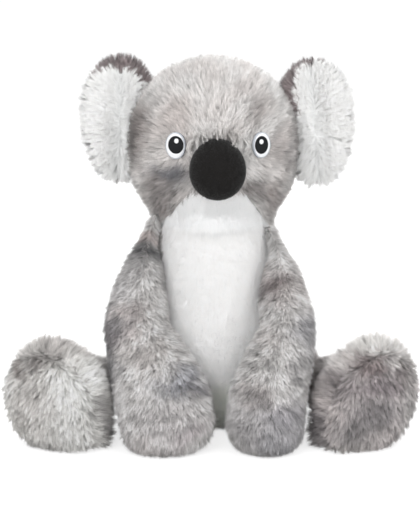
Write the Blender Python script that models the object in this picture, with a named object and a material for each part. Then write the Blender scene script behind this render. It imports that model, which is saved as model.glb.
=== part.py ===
"""A sitting plush koala, about 33 cm tall, as its separate sewn covers, panels and fillings.

Metres, +Z up. The koala faces -Y, and its own right hand is on the -X side. The origin is on the
floor, under the middle of the torso. Each cover is pile cloth, drawn as thick as the pile is deep
when a hand rests on it, and each holds its own fibre filling. The head turns on the neck seam, the
arms and legs swing at their seams, and each ear folds along its root.
"""

import math

import bmesh
import bpy
from mathutils import Matrix, Vector

# Cloth and clearance
SEAM_GAP = 0.0003
SOCKET_CLEARANCE = 0.001
EAR_CLEARANCE = 0.0028
CUT_OVERRUN = 0.02
PILE_THICKNESS = 0.005
EAR_PILE_THICKNESS = 0.004
FLEECE_THICKNESS = 0.0018

# How a stuffed form settles on the floor: it is sunk, rounded off there, and cut flat
SINK = 0.009
SETTLE_SOFTNESS = 0.003
FLAT_DEPTH = 0.0005

# Neck seam, which the torso and the head share
NECK_HALF_WIDTH = 0.052
NECK_HALF_DEPTH = 0.044

# Torso: floor to neck seam, with its widest girth low down
TORSO_HEIGHT = 0.180
TORSO_HALF_WIDTH = 0.084
TORSO_HALF_DEPTH = 0.070
TORSO_OUTLINE_SHARES = (
    (0.03, 0.82), (0.12, 0.95), (0.24, 1.00), (0.38, 0.98), (0.52, 0.90), (0.66, 0.79),
    (0.80, 0.70), (0.92, 0.64),
)
BELLY_HALF_WIDTH = 0.048
BELLY_LOW_HALF_WIDTH = 0.034
BELLY_LOW_HEIGHT = 0.012
PANEL_BACK_SHARE = 0.15

# Head: neck seam to crown, with full cheeks
HEAD_HEIGHT = 0.145
HEAD_HALF_WIDTH = 0.075
HEAD_HALF_DEPTH = 0.066
HEAD_OUTLINE_SHARES = ((0.07, 0.76), (0.15, 0.86), (0.25, 0.95), (0.37, 0.99))
HEAD_WIDEST_SHARE = 0.50
FACE_TURN = math.radians(4.1)
CHIN_TOP_HALF_WIDTH = 0.022
CHIN_LOW_HALF_WIDTH = 0.042
CHIN_HEIGHT = 0.034

# Nose: a stuffed fleece button on the face
NOSE_HALF_WIDTH = 0.0242
NOSE_HALF_HEIGHT = 0.0263
NOSE_HALF_DEPTH = 0.0245
NOSE_HEIGHT = 0.054
NOSE_TURN = math.radians(2.75)
NOSE_STAND_OFF_SHARE = 0.18
NOSE_LOW_SWELL_SHARE = 0.05

# Eyes: embroidered ovals on the face, each white, pupil and glint
EYE_THICKNESS = 0.0016
EYE_HEIGHT = 0.073
EYE_SPREAD = math.radians(29.5)
RIGHT_EYE_HALF_WIDTH = 0.0087
LEFT_EYE_HALF_WIDTH = 0.0082
EYE_HALF_HEIGHT = 0.0108
PUPIL_SHARE = 0.72
PUPIL_LIFT_SHARE = 0.05
GLINT_SHARE = 0.22
GLINT_LIFT_SHARE = 0.32
GLINT_SIDE_SHARE = 0.05

# Ears: flat pillows on the sides of the head, each with its fold along its root
EAR_HALF_HEIGHT = 0.054
EAR_HALF_WIDTH = 0.029
EAR_HALF_THICKNESS = 0.0115
RIGHT_EAR_OUT = 0.013
LEFT_EAR_OUT = 0.018
EAR_ROOT_RADIUS = 0.009
EAR_ROOT_HALF_LENGTH = 0.028
EAR_HEIGHT = 0.090
EAR_BACK_TURN = math.radians(5.0)
EAR_LEAN = math.radians(4.0)
EAR_TOP_SWELL_SHARE = 0.12
EAR_SEAM_FORWARD = 0.002

# Arms: shoulder seam, elbow and paw, each from the middle line, forward and up
SHOULDER_RADIUS = 0.020
SHOULDER_SPREAD = 0.055
SHOULDER_REACH = 0.036
SHOULDER_DROP = 0.034
ELBOW_SPREAD = 0.060
ELBOW_REACH = 0.076
ELBOW_HEIGHT = 0.092
ELBOW_HALF_THICKNESS = 0.026
RIGHT_ELBOW_HALF_WIDTH = 0.028
LEFT_ELBOW_HALF_WIDTH = 0.0245
RIGHT_PAW_SPREAD = 0.0405
LEFT_PAW_SPREAD = 0.0455
PAW_REACH = 0.112
RIGHT_PAW_HALF_WIDTH = 0.0385
LEFT_PAW_HALF_WIDTH = 0.0315
PAW_HALF_THICKNESS = 0.035

# Legs: hip seam, ankle and round upturned foot
HIP_RADIUS = 0.0225
HIP_SPREAD = 0.080
HIP_REACH = 0.0175
ANKLE_SPREAD = 0.117
ANKLE_REACH = 0.064
ANKLE_RADIUS = 0.036
RIGHT_FOOT_SPREAD = 0.137
LEFT_FOOT_SPREAD = 0.133
FOOT_REACH = 0.104
FOOT_HALF_WIDTH = 0.044
FOOT_HALF_HEIGHT = 0.050
SOLE_SHARE = 0.88
SOLE_SET_BACK = 0.022
SOLE_DOME = 0.010

# How far round the ball that a limb turns on the ball runs before the limb leaves it
WAIST_TURN = math.radians(127.0)

# Facets along one side of each ball that a form is shaped from
LARGE_FACETS = 7
LIMB_FACETS = 6
SMALL_FACETS = 5
SOCKET_FACETS = 9
INNER_LARGE_FACETS = 5
INNER_SMALL_FACETS = 4
DOME_STEPS = 6
SPINE_STEPS = 24

# The way each of the koala's own sides lies along X
SIDES = {"right": -1.0, "left": 1.0}


def start_clean():
    """Empties the scene and gives it a collection for the koala and one for its cutters."""
    for thing in list(bpy.data.objects):
        bpy.data.objects.remove(thing, do_unlink=True)
    parts = bpy.data.collections.new("plush_koala")
    helpers = bpy.data.collections.new("cutters")
    bpy.context.scene.collection.children.link(parts)
    bpy.context.scene.collection.children.link(helpers)
    return parts, helpers


PARTS, HELPERS = start_clean()


def material(name, colour, roughness):
    """A plain cloth material with its colour and roughness."""
    made = bpy.data.materials.new(name)
    made.use_nodes = True
    shader = made.node_tree.nodes["Principled BSDF"]
    shader.inputs["Base Color"].default_value = (*colour, 1.0)
    shader.inputs["Roughness"].default_value = roughness
    shader.inputs["Metallic"].default_value = 0.0
    return made


PALE_PLUSH = material("pale_grey_plush", (0.56, 0.53, 0.51), 0.95)
GREY_PLUSH = material("mottled_grey_plush", (0.34, 0.31, 0.30), 0.95)
BROWN_PLUSH = material("brown_grey_plush", (0.20, 0.17, 0.165), 0.95)
WHITE_PLUSH = material("white_plush", (0.86, 0.87, 0.86), 0.95)
BLACK_FLEECE = material("black_fleece", (0.012, 0.011, 0.011), 0.9)
WHITE_THREAD = material("white_thread", (0.84, 0.86, 0.88), 0.6)
BLACK_THREAD = material("black_thread", (0.02, 0.02, 0.022), 0.5)
FIBRE_FILLING = material("fibre_filling", (0.88, 0.88, 0.86), 1.0)


def smooth_path(points, steps):
    """A smooth run through the points, as a Catmull-Rom curve with steps to each stretch."""
    ends = [points[0] * 2 - points[1], *points, points[-1] * 2 - points[-2]]
    path = []
    for before, start, end, after in zip(ends, ends[1:], ends[2:], ends[3:]):
        for step in range(steps):
            t = step / steps
            path.append(
                start
                + (end - before) * (t / 2)
                + (before * 2 - start * 5 + end * 4 - after) * (t * t / 2)
                + (start * 3 - before - end * 3 + after) * (t**3 / 2)
            )
    path.append(points[-1])
    return path


def run_lengths(path):
    """How far along the path each of its points lies."""
    lengths = [0.0]
    for start, end in zip(path, path[1:]):
        lengths.append(lengths[-1] + (end - start).length)
    return lengths


def at_length(path, lengths, along):
    """The point that far along the path, and its direction there; past an end it runs on straight."""
    last = len(path) - 1
    n = next((i for i in range(1, last) if lengths[i] > along), last)
    direction = (path[n] - path[n - 1]).normalized()
    return path[n - 1] + direction * (along - lengths[n - 1]), direction


def settled(point):
    """The point after the form has settled on the floor, a little below it where it will be cut flat."""
    depth = (point.z + FLAT_DEPTH) / SETTLE_SOFTNESS
    lift = math.log1p(math.exp(-abs(depth))) + max(depth, 0.0)
    return Vector((point.x, point.y, SETTLE_SOFTNESS * lift - FLAT_DEPTH))


class Form:
    """A stuffed shape: stations of (along, half width, half depth) from pole to pole, on a spine.

    The spine is a list of points. Side is the direction of the half width, and the half depth is
    square to it and to the spine.
    """

    def __init__(self, stations, spine, side):
        self.stations = smooth_path([Vector(s) for s in stations], DOME_STEPS)
        self.station_lengths = run_lengths(self.stations)
        self.spine = smooth_path([Vector(p) for p in spine], SPINE_STEPS)
        self.spine_lengths = run_lengths(self.spine)
        self.side = Vector(side)

    def frame(self, along):
        """The spine's point that far along, with the side, depth and spine directions there."""
        point, direction = at_length(self.spine, self.spine_lengths, along)
        side = (self.side - direction * self.side.dot(direction)).normalized()
        return point, side, direction.cross(side), direction

    def place(self, way):
        """The point of the form that a unit sphere's point goes to."""
        turned = math.acos(max(-1.0, min(1.0, -way.z))) / math.pi
        (along, width, depth), _ = at_length(
            self.stations, self.station_lengths, turned * self.station_lengths[-1]
        )
        point, side, deep, _ = self.frame(along)
        flat = Vector((way.x, way.y))
        flat = flat.normalized() if flat.length > 0.0 else flat
        return point + side * (max(width, 0.0) * flat.x) + deep * (max(depth, 0.0) * flat.y)

    def girth(self, along):
        """The half width and half depth that far along the spine."""
        near = min(self.stations[1:-1], key=lambda s: abs(s.x - along))
        return near.y, near.z

    def on_surface(self, along, turn):
        """An upright form's point at a height, turned from the front towards +X, and its normal."""
        width, depth = self.girth(along)
        point = self.frame(along)[0]
        spot = point + Vector((width * math.sin(turn), -depth * math.cos(turn), 0.0))
        normal = Vector((math.sin(turn) / width, -math.cos(turn) / depth, 0.0)).normalized()
        return spot, normal


def quarter(start, end, width, depth):
    """Stations of a quarter ellipse, from the pole at start to the full girth at end, poles first."""
    stations = []
    for step in range(DOME_STEPS):
        turn = math.pi / 2 * step / DOME_STEPS
        stations.append(
            (
                end + (start - end) * math.cos(turn),
                width * math.sin(turn),
                depth * math.sin(turn),
            )
        )
    return stations


def seam_ball(radius):
    """Stations of the ball that a limb turns on, from its pole to the waist where its seam draws it in."""
    stations = []
    for step in range(2 * DOME_STEPS + 1):
        turn = WAIST_TURN * step / (2 * DOME_STEPS)
        stations.append((-radius * math.cos(turn), radius * math.sin(turn), radius * math.sin(turn)))
    return stations


def torso_form():
    """The pear of the torso: a settled base, wide hips and a neck that runs on past the seam."""
    low, girth = TORSO_OUTLINE_SHARES[0]
    stations = quarter(
        -SINK, TORSO_HEIGHT * low, TORSO_HALF_WIDTH * girth, TORSO_HALF_DEPTH * girth
    )
    for height, girth in TORSO_OUTLINE_SHARES:
        stations.append((TORSO_HEIGHT * height, TORSO_HALF_WIDTH * girth, TORSO_HALF_DEPTH * girth))
    stations.append((TORSO_HEIGHT, NECK_HALF_WIDTH, NECK_HALF_DEPTH))
    top = TORSO_HEIGHT + NECK_HALF_WIDTH
    stations += reversed(quarter(top, TORSO_HEIGHT, NECK_HALF_WIDTH, NECK_HALF_DEPTH))
    return Form(stations, [(0, 0, 0), (0, 0, TORSO_HEIGHT)], (1, 0, 0))


def head_form():
    """The ball of the head: full cheeks above the neck, and a round crown."""
    stations = quarter(-NECK_HALF_WIDTH, 0, NECK_HALF_WIDTH, NECK_HALF_DEPTH)
    stations.append((0, NECK_HALF_WIDTH, NECK_HALF_DEPTH))
    for height, girth in HEAD_OUTLINE_SHARES:
        stations.append((HEAD_HEIGHT * height, HEAD_HALF_WIDTH * girth, HEAD_HALF_DEPTH * girth))
    widest = HEAD_HEIGHT * HEAD_WIDEST_SHARE
    stations.append((widest, HEAD_HALF_WIDTH, HEAD_HALF_DEPTH))
    stations += reversed(quarter(HEAD_HEIGHT, widest, HEAD_HALF_WIDTH, HEAD_HALF_DEPTH))
    neck = (0, 0, TORSO_HEIGHT)
    return Form(stations, [neck, (0, 0, TORSO_HEIGHT + HEAD_HEIGHT)], (1, 0, 0))


def shoulder(hand):
    """The middle of the round shoulder seam."""
    return Vector((SIDES[hand] * SHOULDER_SPREAD, -SHOULDER_REACH, TORSO_HEIGHT - SHOULDER_DROP))


def hip(hand):
    """The middle of the round hip seam."""
    return Vector((SIDES[hand] * HIP_SPREAD, -HIP_REACH, FOOT_HALF_HEIGHT - SINK))


def arm_form(hand):
    """An arm: a ball at the shoulder, a soft elbow, and a paw that rests on the floor."""
    spread = {"right": RIGHT_PAW_SPREAD, "left": LEFT_PAW_SPREAD}[hand]
    paw_width = {"right": RIGHT_PAW_HALF_WIDTH, "left": LEFT_PAW_HALF_WIDTH}[hand]
    elbow_width = {"right": RIGHT_ELBOW_HALF_WIDTH, "left": LEFT_ELBOW_HALF_WIDTH}[hand]
    spine = [
        shoulder(hand),
        Vector((SIDES[hand] * ELBOW_SPREAD, -ELBOW_REACH, ELBOW_HEIGHT)),
        Vector((SIDES[hand] * spread, -PAW_REACH, PAW_HALF_THICKNESS - SINK)),
    ]
    path = smooth_path(spine, SPINE_STEPS)
    lengths = run_lengths(path)
    stations = seam_ball(SHOULDER_RADIUS)
    stations.append((lengths[SPINE_STEPS], elbow_width, ELBOW_HALF_THICKNESS))
    stations.append((lengths[-1], paw_width, PAW_HALF_THICKNESS))
    tip = lengths[-1] + PAW_HALF_THICKNESS
    stations += reversed(quarter(tip, lengths[-1], paw_width, PAW_HALF_THICKNESS))
    return Form(stations, spine, (1, 0, 0))


def leg_form(hand):
    """A leg: a ball at the hip, and a shin that swells into a round foot with a slightly domed sole."""
    spread = {"right": RIGHT_FOOT_SPREAD, "left": LEFT_FOOT_SPREAD}[hand]
    level = FOOT_HALF_HEIGHT - SINK
    spine = [
        hip(hand),
        Vector((SIDES[hand] * ANKLE_SPREAD, -ANKLE_REACH, level)),
        Vector((SIDES[hand] * spread, -FOOT_REACH, level)),
    ]
    path = smooth_path(spine, SPINE_STEPS)
    lengths = run_lengths(path)
    ankle, foot = lengths[SPINE_STEPS], lengths[-1]
    widest = foot - SOLE_SET_BACK
    stations = seam_ball(HIP_RADIUS)
    stations.append((ankle, ANKLE_RADIUS, ANKLE_RADIUS))
    stations.append((widest, FOOT_HALF_WIDTH, FOOT_HALF_HEIGHT))
    sole = (SOLE_SHARE * FOOT_HALF_WIDTH, SOLE_SHARE * FOOT_HALF_HEIGHT)
    stations += reversed(quarter(foot + SOLE_DOME * 2, foot, *sole))
    return Form(stations, spine, (SIDES[hand], 0, 0)), foot


TORSO = torso_form()
HEAD = head_form()


def ball_object(name, facets, place, group):
    """A ball made from a cube's grid, with each of its points moved to where place puts it.

    Its faces are triangles, so that a form and the same form grown or shrunk never cross.
    """
    mesh = bpy.data.meshes.new(name)
    shape = bmesh.new()
    bmesh.ops.create_cube(shape, size=2.0)
    bmesh.ops.subdivide_edges(shape, edges=shape.edges[:], cuts=facets - 1, use_grid_fill=True)
    for point in shape.verts:
        point.co = place(point.co.normalized())
    bmesh.ops.triangulate(shape, faces=shape.faces, quad_method="FIXED")
    shape.normal_update()
    bmesh.ops.recalc_face_normals(shape, faces=shape.faces)
    shape.to_mesh(mesh)
    shape.free()
    mesh.shade_smooth()
    made = bpy.data.objects.new(name, mesh)
    group.objects.link(made)
    return made


def helper(made):
    """Marks an object as a cutter, which is no part of the koala."""
    made.hide_render = True
    made.display_type = "WIRE"
    return made


def grown(name, facets, place, by):
    """A cutter the shape of a form, grown by a distance along its normals, or shrunk if it is negative."""
    made = helper(ball_object(name, facets, place, HELPERS))
    offset(made, by)
    return made


def offset(made, by):
    """Moves a surface along its normals."""
    move = made.modifiers.new("offset", "DISPLACE")
    move.strength = by
    move.mid_level = 0.0
    move.direction = "NORMAL"


def cut(made, cutter, operation="DIFFERENCE"):
    """Cuts a piece with a cutter."""
    modifier = made.modifiers.new(cutter.name, "BOOLEAN")
    modifier.operation = operation
    modifier.object = cutter
    modifier.solver = "EXACT"


def hollow(made, facets, place, thickness):
    """Makes a closed form a cover of that thickness, with its outer face where it was."""
    cut(made, grown(made.name + "_inside", facets, place, -thickness))


def block(name, low, high, matrix=None):
    """A box-shaped cutter between two corners."""
    mesh = bpy.data.meshes.new(name)
    shape = bmesh.new()
    bmesh.ops.create_cube(shape, size=1.0)
    low, high = Vector(low), Vector(high)
    size = high - low
    for point in shape.verts:
        point.co = Vector(
            low[axis] + size[axis] * (point.co[axis] + 0.5) for axis in range(3)
        )
    shape.to_mesh(mesh)
    shape.free()
    made = bpy.data.objects.new(name, mesh)
    HELPERS.objects.link(made)
    if matrix:
        made.matrix_world = matrix
    return helper(made)


def outline_block(name, outline, extrude, matrix):
    """A cutter with a flat closed outline in its XZ plane, extruded to both sides along Y."""
    curve = bpy.data.curves.new(name, "CURVE")
    curve.dimensions = "2D"
    curve.fill_mode = "BOTH"
    curve.extrude = extrude
    line = curve.splines.new("POLY")
    line.points.add(len(outline) - 1)
    for point, (x, z) in zip(line.points, outline):
        point.co = (x, z, 0.0, 1.0)
    line.use_cyclic_u = True
    drawn = bpy.data.objects.new(name + "_line", curve)
    HELPERS.objects.link(drawn)
    drawn.matrix_world = matrix @ Matrix.Rotation(math.pi / 2, 4, "X")
    bpy.context.view_layer.update()
    graph = bpy.context.evaluated_depsgraph_get()
    mesh = bpy.data.meshes.new_from_object(drawn.evaluated_get(graph))
    shape = bmesh.new()
    shape.from_mesh(mesh)
    bmesh.ops.remove_doubles(shape, verts=shape.verts, dist=SEAM_GAP / 10)
    bmesh.ops.recalc_face_normals(shape, faces=shape.faces)
    shape.to_mesh(mesh)
    shape.free()
    made = bpy.data.objects.new(name, mesh)
    HELPERS.objects.link(made)
    made.matrix_world = drawn.matrix_world
    bpy.data.objects.remove(drawn)
    return helper(made)


def sphere(name, centre, radius):
    """A round cutter."""
    return helper(ball_object(name, SOCKET_FACETS, lambda way: centre + way * radius, HELPERS))


def piece(name, facets, place, finish):
    """A visible piece before its cuts, in its own material."""
    made = ball_object(name, facets, place, PARTS)
    made.data.materials.append(finish)
    return made


def carry(made, pivot):
    """Puts a piece's origin on its joint, with its shape left where it is."""
    made.data.transform(Matrix.Translation(-pivot))
    made.matrix_world = Matrix.Translation(pivot)


def on_floor(form):
    """The form's own placing, followed by its settling on the floor."""
    return lambda way: settled(form.place(way))


def make_torso():
    """The torso: a grey cover, a white belly panel and its filling, open at the neck and the limbs."""
    reach = TORSO_HALF_WIDTH + CUT_OVERRUN
    above = block("neck_cut", (-reach, -reach, TORSO_HEIGHT - SEAM_GAP / 2),
                  (reach, reach, TORSO_HEIGHT + reach))
    cover = piece("torso_cover", LARGE_FACETS, on_floor(TORSO), GREY_PLUSH)
    belly = piece("belly_panel", LARGE_FACETS, on_floor(TORSO), WHITE_PLUSH)
    filling = piece("torso_filling", INNER_LARGE_FACETS, on_floor(TORSO), FIBRE_FILLING)
    offset(filling, -PILE_THICKNESS - SEAM_GAP)
    cut(cover, belly_window("belly_window", 0.0))
    cut(belly, belly_window("belly_outline", SEAM_GAP), "INTERSECT")
    hollow(cover, INNER_LARGE_FACETS, on_floor(TORSO), PILE_THICKNESS)
    hollow(belly, INNER_LARGE_FACETS, on_floor(TORSO), PILE_THICKNESS)
    for made in (cover, belly, filling):
        cut(made, above)
        cut(made, FLOOR)
        for socket in SOCKETS:
            cut(made, socket)


def belly_window(name, inset):
    """The belly panel's outline from the front, less an inset, as a cutter through the front wall."""
    top = TORSO_HEIGHT + CUT_OVERRUN
    half = BELLY_HALF_WIDTH - inset
    low_half = BELLY_LOW_HALF_WIDTH - inset
    low = BELLY_LOW_HEIGHT + inset
    outline = [(half, top), (-half, top), (-half, TORSO_HEIGHT / 2)]
    for step in range(DOME_STEPS + 1):
        turn = math.pi * step / DOME_STEPS
        outline.append((-low_half * math.cos(turn), low + low_half - low_half * math.sin(turn)))
    outline.append((half, TORSO_HEIGHT / 2))
    back = TORSO_HALF_DEPTH * (1 + PANEL_BACK_SHARE)
    return outline_block(name, outline, TORSO_HALF_DEPTH, Matrix.Translation((0, -back, 0)))


def make_head():
    """The head: a grey cover, a white chin panel and its filling, open at the neck."""
    reach = HEAD_HALF_WIDTH + CUT_OVERRUN
    below = block("head_neck_cut", (-reach, -reach, TORSO_HEIGHT - reach),
                  (reach, reach, TORSO_HEIGHT + SEAM_GAP / 2))
    cover = piece("head_cover", LARGE_FACETS, HEAD.place, PALE_PLUSH)
    chin = piece("chin_panel", LARGE_FACETS, HEAD.place, WHITE_PLUSH)
    filling = piece("head_filling", INNER_LARGE_FACETS, HEAD.place, FIBRE_FILLING)
    offset(filling, -PILE_THICKNESS - SEAM_GAP)
    cut(cover, chin_window("chin_window", 0.0))
    cut(chin, chin_window("chin_outline", SEAM_GAP), "INTERSECT")
    hollow(cover, INNER_LARGE_FACETS, HEAD.place, PILE_THICKNESS)
    hollow(chin, INNER_LARGE_FACETS, HEAD.place, PILE_THICKNESS)
    for made in (cover, chin, filling):
        cut(made, below)
    for hand in SIDES:
        groove = ear_root(hand, "ear_groove_" + hand, EAR_ROOT_RADIUS + SEAM_GAP)
        cut(cover, groove)
        cut(filling, groove)
    for made in (cover, chin, filling):
        carry(made, Vector((0, 0, TORSO_HEIGHT)))


def chin_window(name, inset):
    """The chin panel's outline seen from the front, less an inset, cut through the face."""
    low = TORSO_HEIGHT - CUT_OVERRUN
    top = TORSO_HEIGHT + CHIN_HEIGHT - inset
    narrow, wide = CHIN_TOP_HALF_WIDTH - inset, CHIN_LOW_HALF_WIDTH - inset
    outline = [(-wide, low), (wide, low), (wide, TORSO_HEIGHT), (narrow, top), (-narrow, top),
               (-wide, TORSO_HEIGHT)]
    turn = Matrix.Rotation(FACE_TURN, 4, "Z")
    back = HEAD_HALF_DEPTH * (1 + PANEL_BACK_SHARE)
    return outline_block(name, outline, HEAD_HALF_DEPTH, turn @ Matrix.Translation((0, -back, 0)))


def nose_place(way):
    """The nose's rounded form, a little wider below than above, seated on the face."""
    spot, normal = HEAD.on_surface(NOSE_HEIGHT, NOSE_TURN)
    side = Vector((0, 0, 1)).cross(normal)
    centre = spot + normal * (NOSE_HALF_DEPTH * NOSE_STAND_OFF_SHARE)
    return (
        centre
        - side * (NOSE_HALF_WIDTH * way.x * (1 - NOSE_LOW_SWELL_SHARE * way.z))
        - normal * (NOSE_HALF_DEPTH * way.y)
        + Vector((0, 0, NOSE_HALF_HEIGHT * way.z))
    )


def make_nose():
    """The nose: a black fleece cover with its filling, open at the back and seated on the head."""
    cover = piece("nose_cover", SMALL_FACETS, nose_place, BLACK_FLEECE)
    filling = piece("nose_filling", INNER_SMALL_FACETS, nose_place, FIBRE_FILLING)
    hollow(cover, INNER_SMALL_FACETS, nose_place, FLEECE_THICKNESS)
    offset(filling, -FLEECE_THICKNESS - SEAM_GAP)
    face = grown("face_for_nose", LARGE_FACETS, HEAD.place, SEAM_GAP)
    for made in (cover, filling):
        cut(made, face)
        carry(made, Vector((0, 0, TORSO_HEIGHT)))


def eye_oval(name, hand, width, height, side_shift, lift):
    """An oval cutter that stands square to the face at an eye."""
    turn = FACE_TURN + SIDES[hand] * EYE_SPREAD
    spot, normal = HEAD.on_surface(EYE_HEIGHT, turn)
    side = Vector((0, 0, 1)).cross(normal)
    frame = Matrix((side, -normal, Vector((0, 0, 1)))).transposed().to_4x4()
    frame.translation = spot
    steps = 4 * DOME_STEPS
    outline = [
        (
            side_shift + width * math.cos(2 * math.pi * step / steps),
            lift + height * math.sin(2 * math.pi * step / steps),
        )
        for step in range(steps)
    ]
    return outline_block(name, outline, CUT_OVERRUN, frame)


def make_eye(hand):
    """An eye: a white embroidered oval, with a pupil let into it and a glint let into the pupil."""
    half = {"right": RIGHT_EYE_HALF_WIDTH, "left": LEFT_EYE_HALF_WIDTH}[hand]
    tall = EYE_HALF_HEIGHT
    rings = {
        "eye_white": (half, tall, 0.0, 0.0, WHITE_THREAD),
        "eye_pupil": (
            half * PUPIL_SHARE, tall * PUPIL_SHARE, 0.0, tall * PUPIL_LIFT_SHARE, BLACK_THREAD,
        ),
        "eye_glint": (
            half * GLINT_SHARE, half * GLINT_SHARE, half * GLINT_SIDE_SHARE,
            tall * GLINT_LIFT_SHARE, WHITE_THREAD,
        ),
    }
    inner = None
    for name, (width, height, shift, lift, finish) in reversed(rings.items()):
        made = piece(f"{name}_{hand}", LARGE_FACETS, HEAD.place, finish)
        offset(made, EYE_THICKNESS + SEAM_GAP)
        cut(made, eye_oval(f"{name}_outline_{hand}", hand, width, height, shift, lift), "INTERSECT")
        cut(made, FACE)
        if inner:
            cut(made, inner)
        inner = eye_oval(
            f"{name}_hole_{hand}", hand, width + SEAM_GAP, height + SEAM_GAP, shift, lift
        )
        carry(made, Vector((0, 0, TORSO_HEIGHT)))


def ear_fold(hand):
    """The middle of the line on the head's side that an ear folds along."""
    return HEAD.on_surface(EAR_HEIGHT, SIDES[hand] * (math.pi / 2 + EAR_BACK_TURN))[0]


def ear_root(hand, name, radius):
    """A round bar along the fold of an ear."""
    mesh = bpy.data.meshes.new(name)
    shape = bmesh.new()
    bmesh.ops.create_cone(
        shape, cap_ends=True, segments=4 * DOME_STEPS, radius1=radius, radius2=radius,
        depth=2 * (EAR_ROOT_HALF_LENGTH + radius - EAR_ROOT_RADIUS),
    )
    shape.to_mesh(mesh)
    shape.free()
    made = bpy.data.objects.new(name, mesh)
    HELPERS.objects.link(made)
    made.matrix_world = Matrix.Translation(ear_fold(hand))
    return helper(made)


def ear_place(hand):
    """The ear's pillow, a little wider at the top, that leans in over the crown."""
    out = {"right": RIGHT_EAR_OUT, "left": LEFT_EAR_OUT}[hand]
    frame = Matrix.Translation(ear_fold(hand)) @ Matrix.Rotation(-EAR_LEAN * SIDES[hand], 4, "Y")

    def place(way):
        half_width = EAR_HALF_WIDTH * (1 + EAR_TOP_SWELL_SHARE * way.z)
        full = math.sqrt(1 - way.y * way.y / 2)
        return frame @ Vector(
            (
                SIDES[hand] * out + half_width * way.x / full,
                EAR_HALF_THICKNESS * way.y,
                EAR_HALF_HEIGHT * way.z / full,
            )
        )

    return place


def make_ear(hand):
    """An ear: a grey back that wraps over the edge, a white front, and flat wadding between them."""
    pivot = ear_fold(hand)
    place = ear_place(hand)
    head = grown("head_for_ear_" + hand, LARGE_FACETS, HEAD.place, EAR_CLEARANCE)
    cut(head, ear_root(hand, "ear_bar_" + hand, EAR_ROOT_RADIUS))
    far = EAR_HALF_HEIGHT + EAR_HALF_WIDTH + CUT_OVERRUN
    seam = pivot.y - EAR_SEAM_FORWARD
    front_room = block(f"ear_front_room_{hand}", (pivot.x - far, seam - far, pivot.z - far),
                       (pivot.x + far, seam - SEAM_GAP / 2, pivot.z + far))
    back_room = block(f"ear_back_room_{hand}", (pivot.x - far, seam + SEAM_GAP / 2, pivot.z - far),
                      (pivot.x + far, seam + far, pivot.z + far))
    front = piece(f"ear_front_{hand}", SMALL_FACETS, place, WHITE_PLUSH)
    back = piece(f"ear_back_{hand}", SMALL_FACETS, place, BROWN_PLUSH)
    wadding = piece(f"ear_wadding_{hand}", INNER_SMALL_FACETS, place, FIBRE_FILLING)
    hollow(front, INNER_SMALL_FACETS, place, EAR_PILE_THICKNESS)
    hollow(back, INNER_SMALL_FACETS, place, EAR_PILE_THICKNESS)
    offset(wadding, -EAR_PILE_THICKNESS - SEAM_GAP)
    cut(front, front_room, "INTERSECT")
    cut(back, back_room, "INTERSECT")
    for made in (front, back, wadding):
        cut(made, head)
        carry(made, pivot)


def make_limb(name, hand, form, pivot, radius):
    """A limb's cover and filling, cut where it lies against the torso, with its ball seam open."""
    cover = piece(f"{name}_cover_{hand}", LIMB_FACETS, on_floor(form), GREY_PLUSH)
    filling = piece(f"{name}_filling_{hand}", INNER_SMALL_FACETS, on_floor(form), FIBRE_FILLING)
    hollow(cover, INNER_SMALL_FACETS, on_floor(form), PILE_THICKNESS)
    offset(filling, -PILE_THICKNESS - SEAM_GAP)
    inwards = Vector((-SIDES[hand], 0, 0))
    cut(cover, sphere(f"{name}_opening_{hand}", pivot + inwards * radius, radius / 2))
    torso = grown(f"torso_for_{name}_{hand}", LARGE_FACETS, on_floor(TORSO), SOCKET_CLEARANCE)
    cut(torso, sphere(f"{name}_ball_{hand}", pivot, radius + SOCKET_CLEARANCE / 2))
    for made in (cover, filling):
        cut(made, torso)
    return cover, filling


def make_arm(hand):
    """An arm: a grey cover with its filling, open where it is sewn to the torso."""
    pivot = shoulder(hand)
    for made in make_limb("arm", hand, arm_form(hand), pivot, SHOULDER_RADIUS):
        cut(made, FLOOR)
        carry(made, pivot)


def make_leg(hand):
    """A leg: a grey cover, the round sole sewn into its end, and its filling, open at the hip."""
    form, foot = leg_form(hand)
    pivot = hip(hand)
    point, side, deep, direction = form.frame(foot)
    frame = Matrix((side, deep, direction)).transposed().to_4x4()
    frame.translation = point
    far = FOOT_HALF_WIDTH + CUT_OVERRUN
    sole_room = block(f"sole_room_{hand}", (-far, -far, SEAM_GAP / 2), (far, far, far), frame)
    shin_room = block(f"shin_room_{hand}", (-far, -far, -SEAM_GAP / 2), (far, far, far), frame)
    cover, filling = make_limb("leg", hand, form, pivot, HIP_RADIUS)
    sole = piece(f"sole_panel_{hand}", LIMB_FACETS, on_floor(form), GREY_PLUSH)
    hollow(sole, INNER_SMALL_FACETS, on_floor(form), PILE_THICKNESS)
    cut(cover, shin_room)
    cut(sole, sole_room, "INTERSECT")
    for made in (cover, filling, sole):
        cut(made, FLOOR)
        carry(made, pivot)


def floor_block():
    """Everything below the floor, which cuts each settled form flat."""
    far = RIGHT_FOOT_SPREAD + FOOT_REACH + CUT_OVERRUN
    return block("floor", (-far, -far, -far), (far, far, 0))


FLOOR = floor_block()
FACE = grown("face_for_eyes", LARGE_FACETS, HEAD.place, SEAM_GAP)
SOCKETS = [
    sphere("shoulder_socket_" + hand, shoulder(hand), SHOULDER_RADIUS + SOCKET_CLEARANCE)
    for hand in SIDES
] + [sphere("hip_socket_" + hand, hip(hand), HIP_RADIUS + SOCKET_CLEARANCE) for hand in SIDES]
make_torso()
make_head()
make_nose()
for hand in SIDES:
    make_eye(hand)
    make_ear(hand)
    make_arm(hand)
    make_leg(hand)
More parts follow.
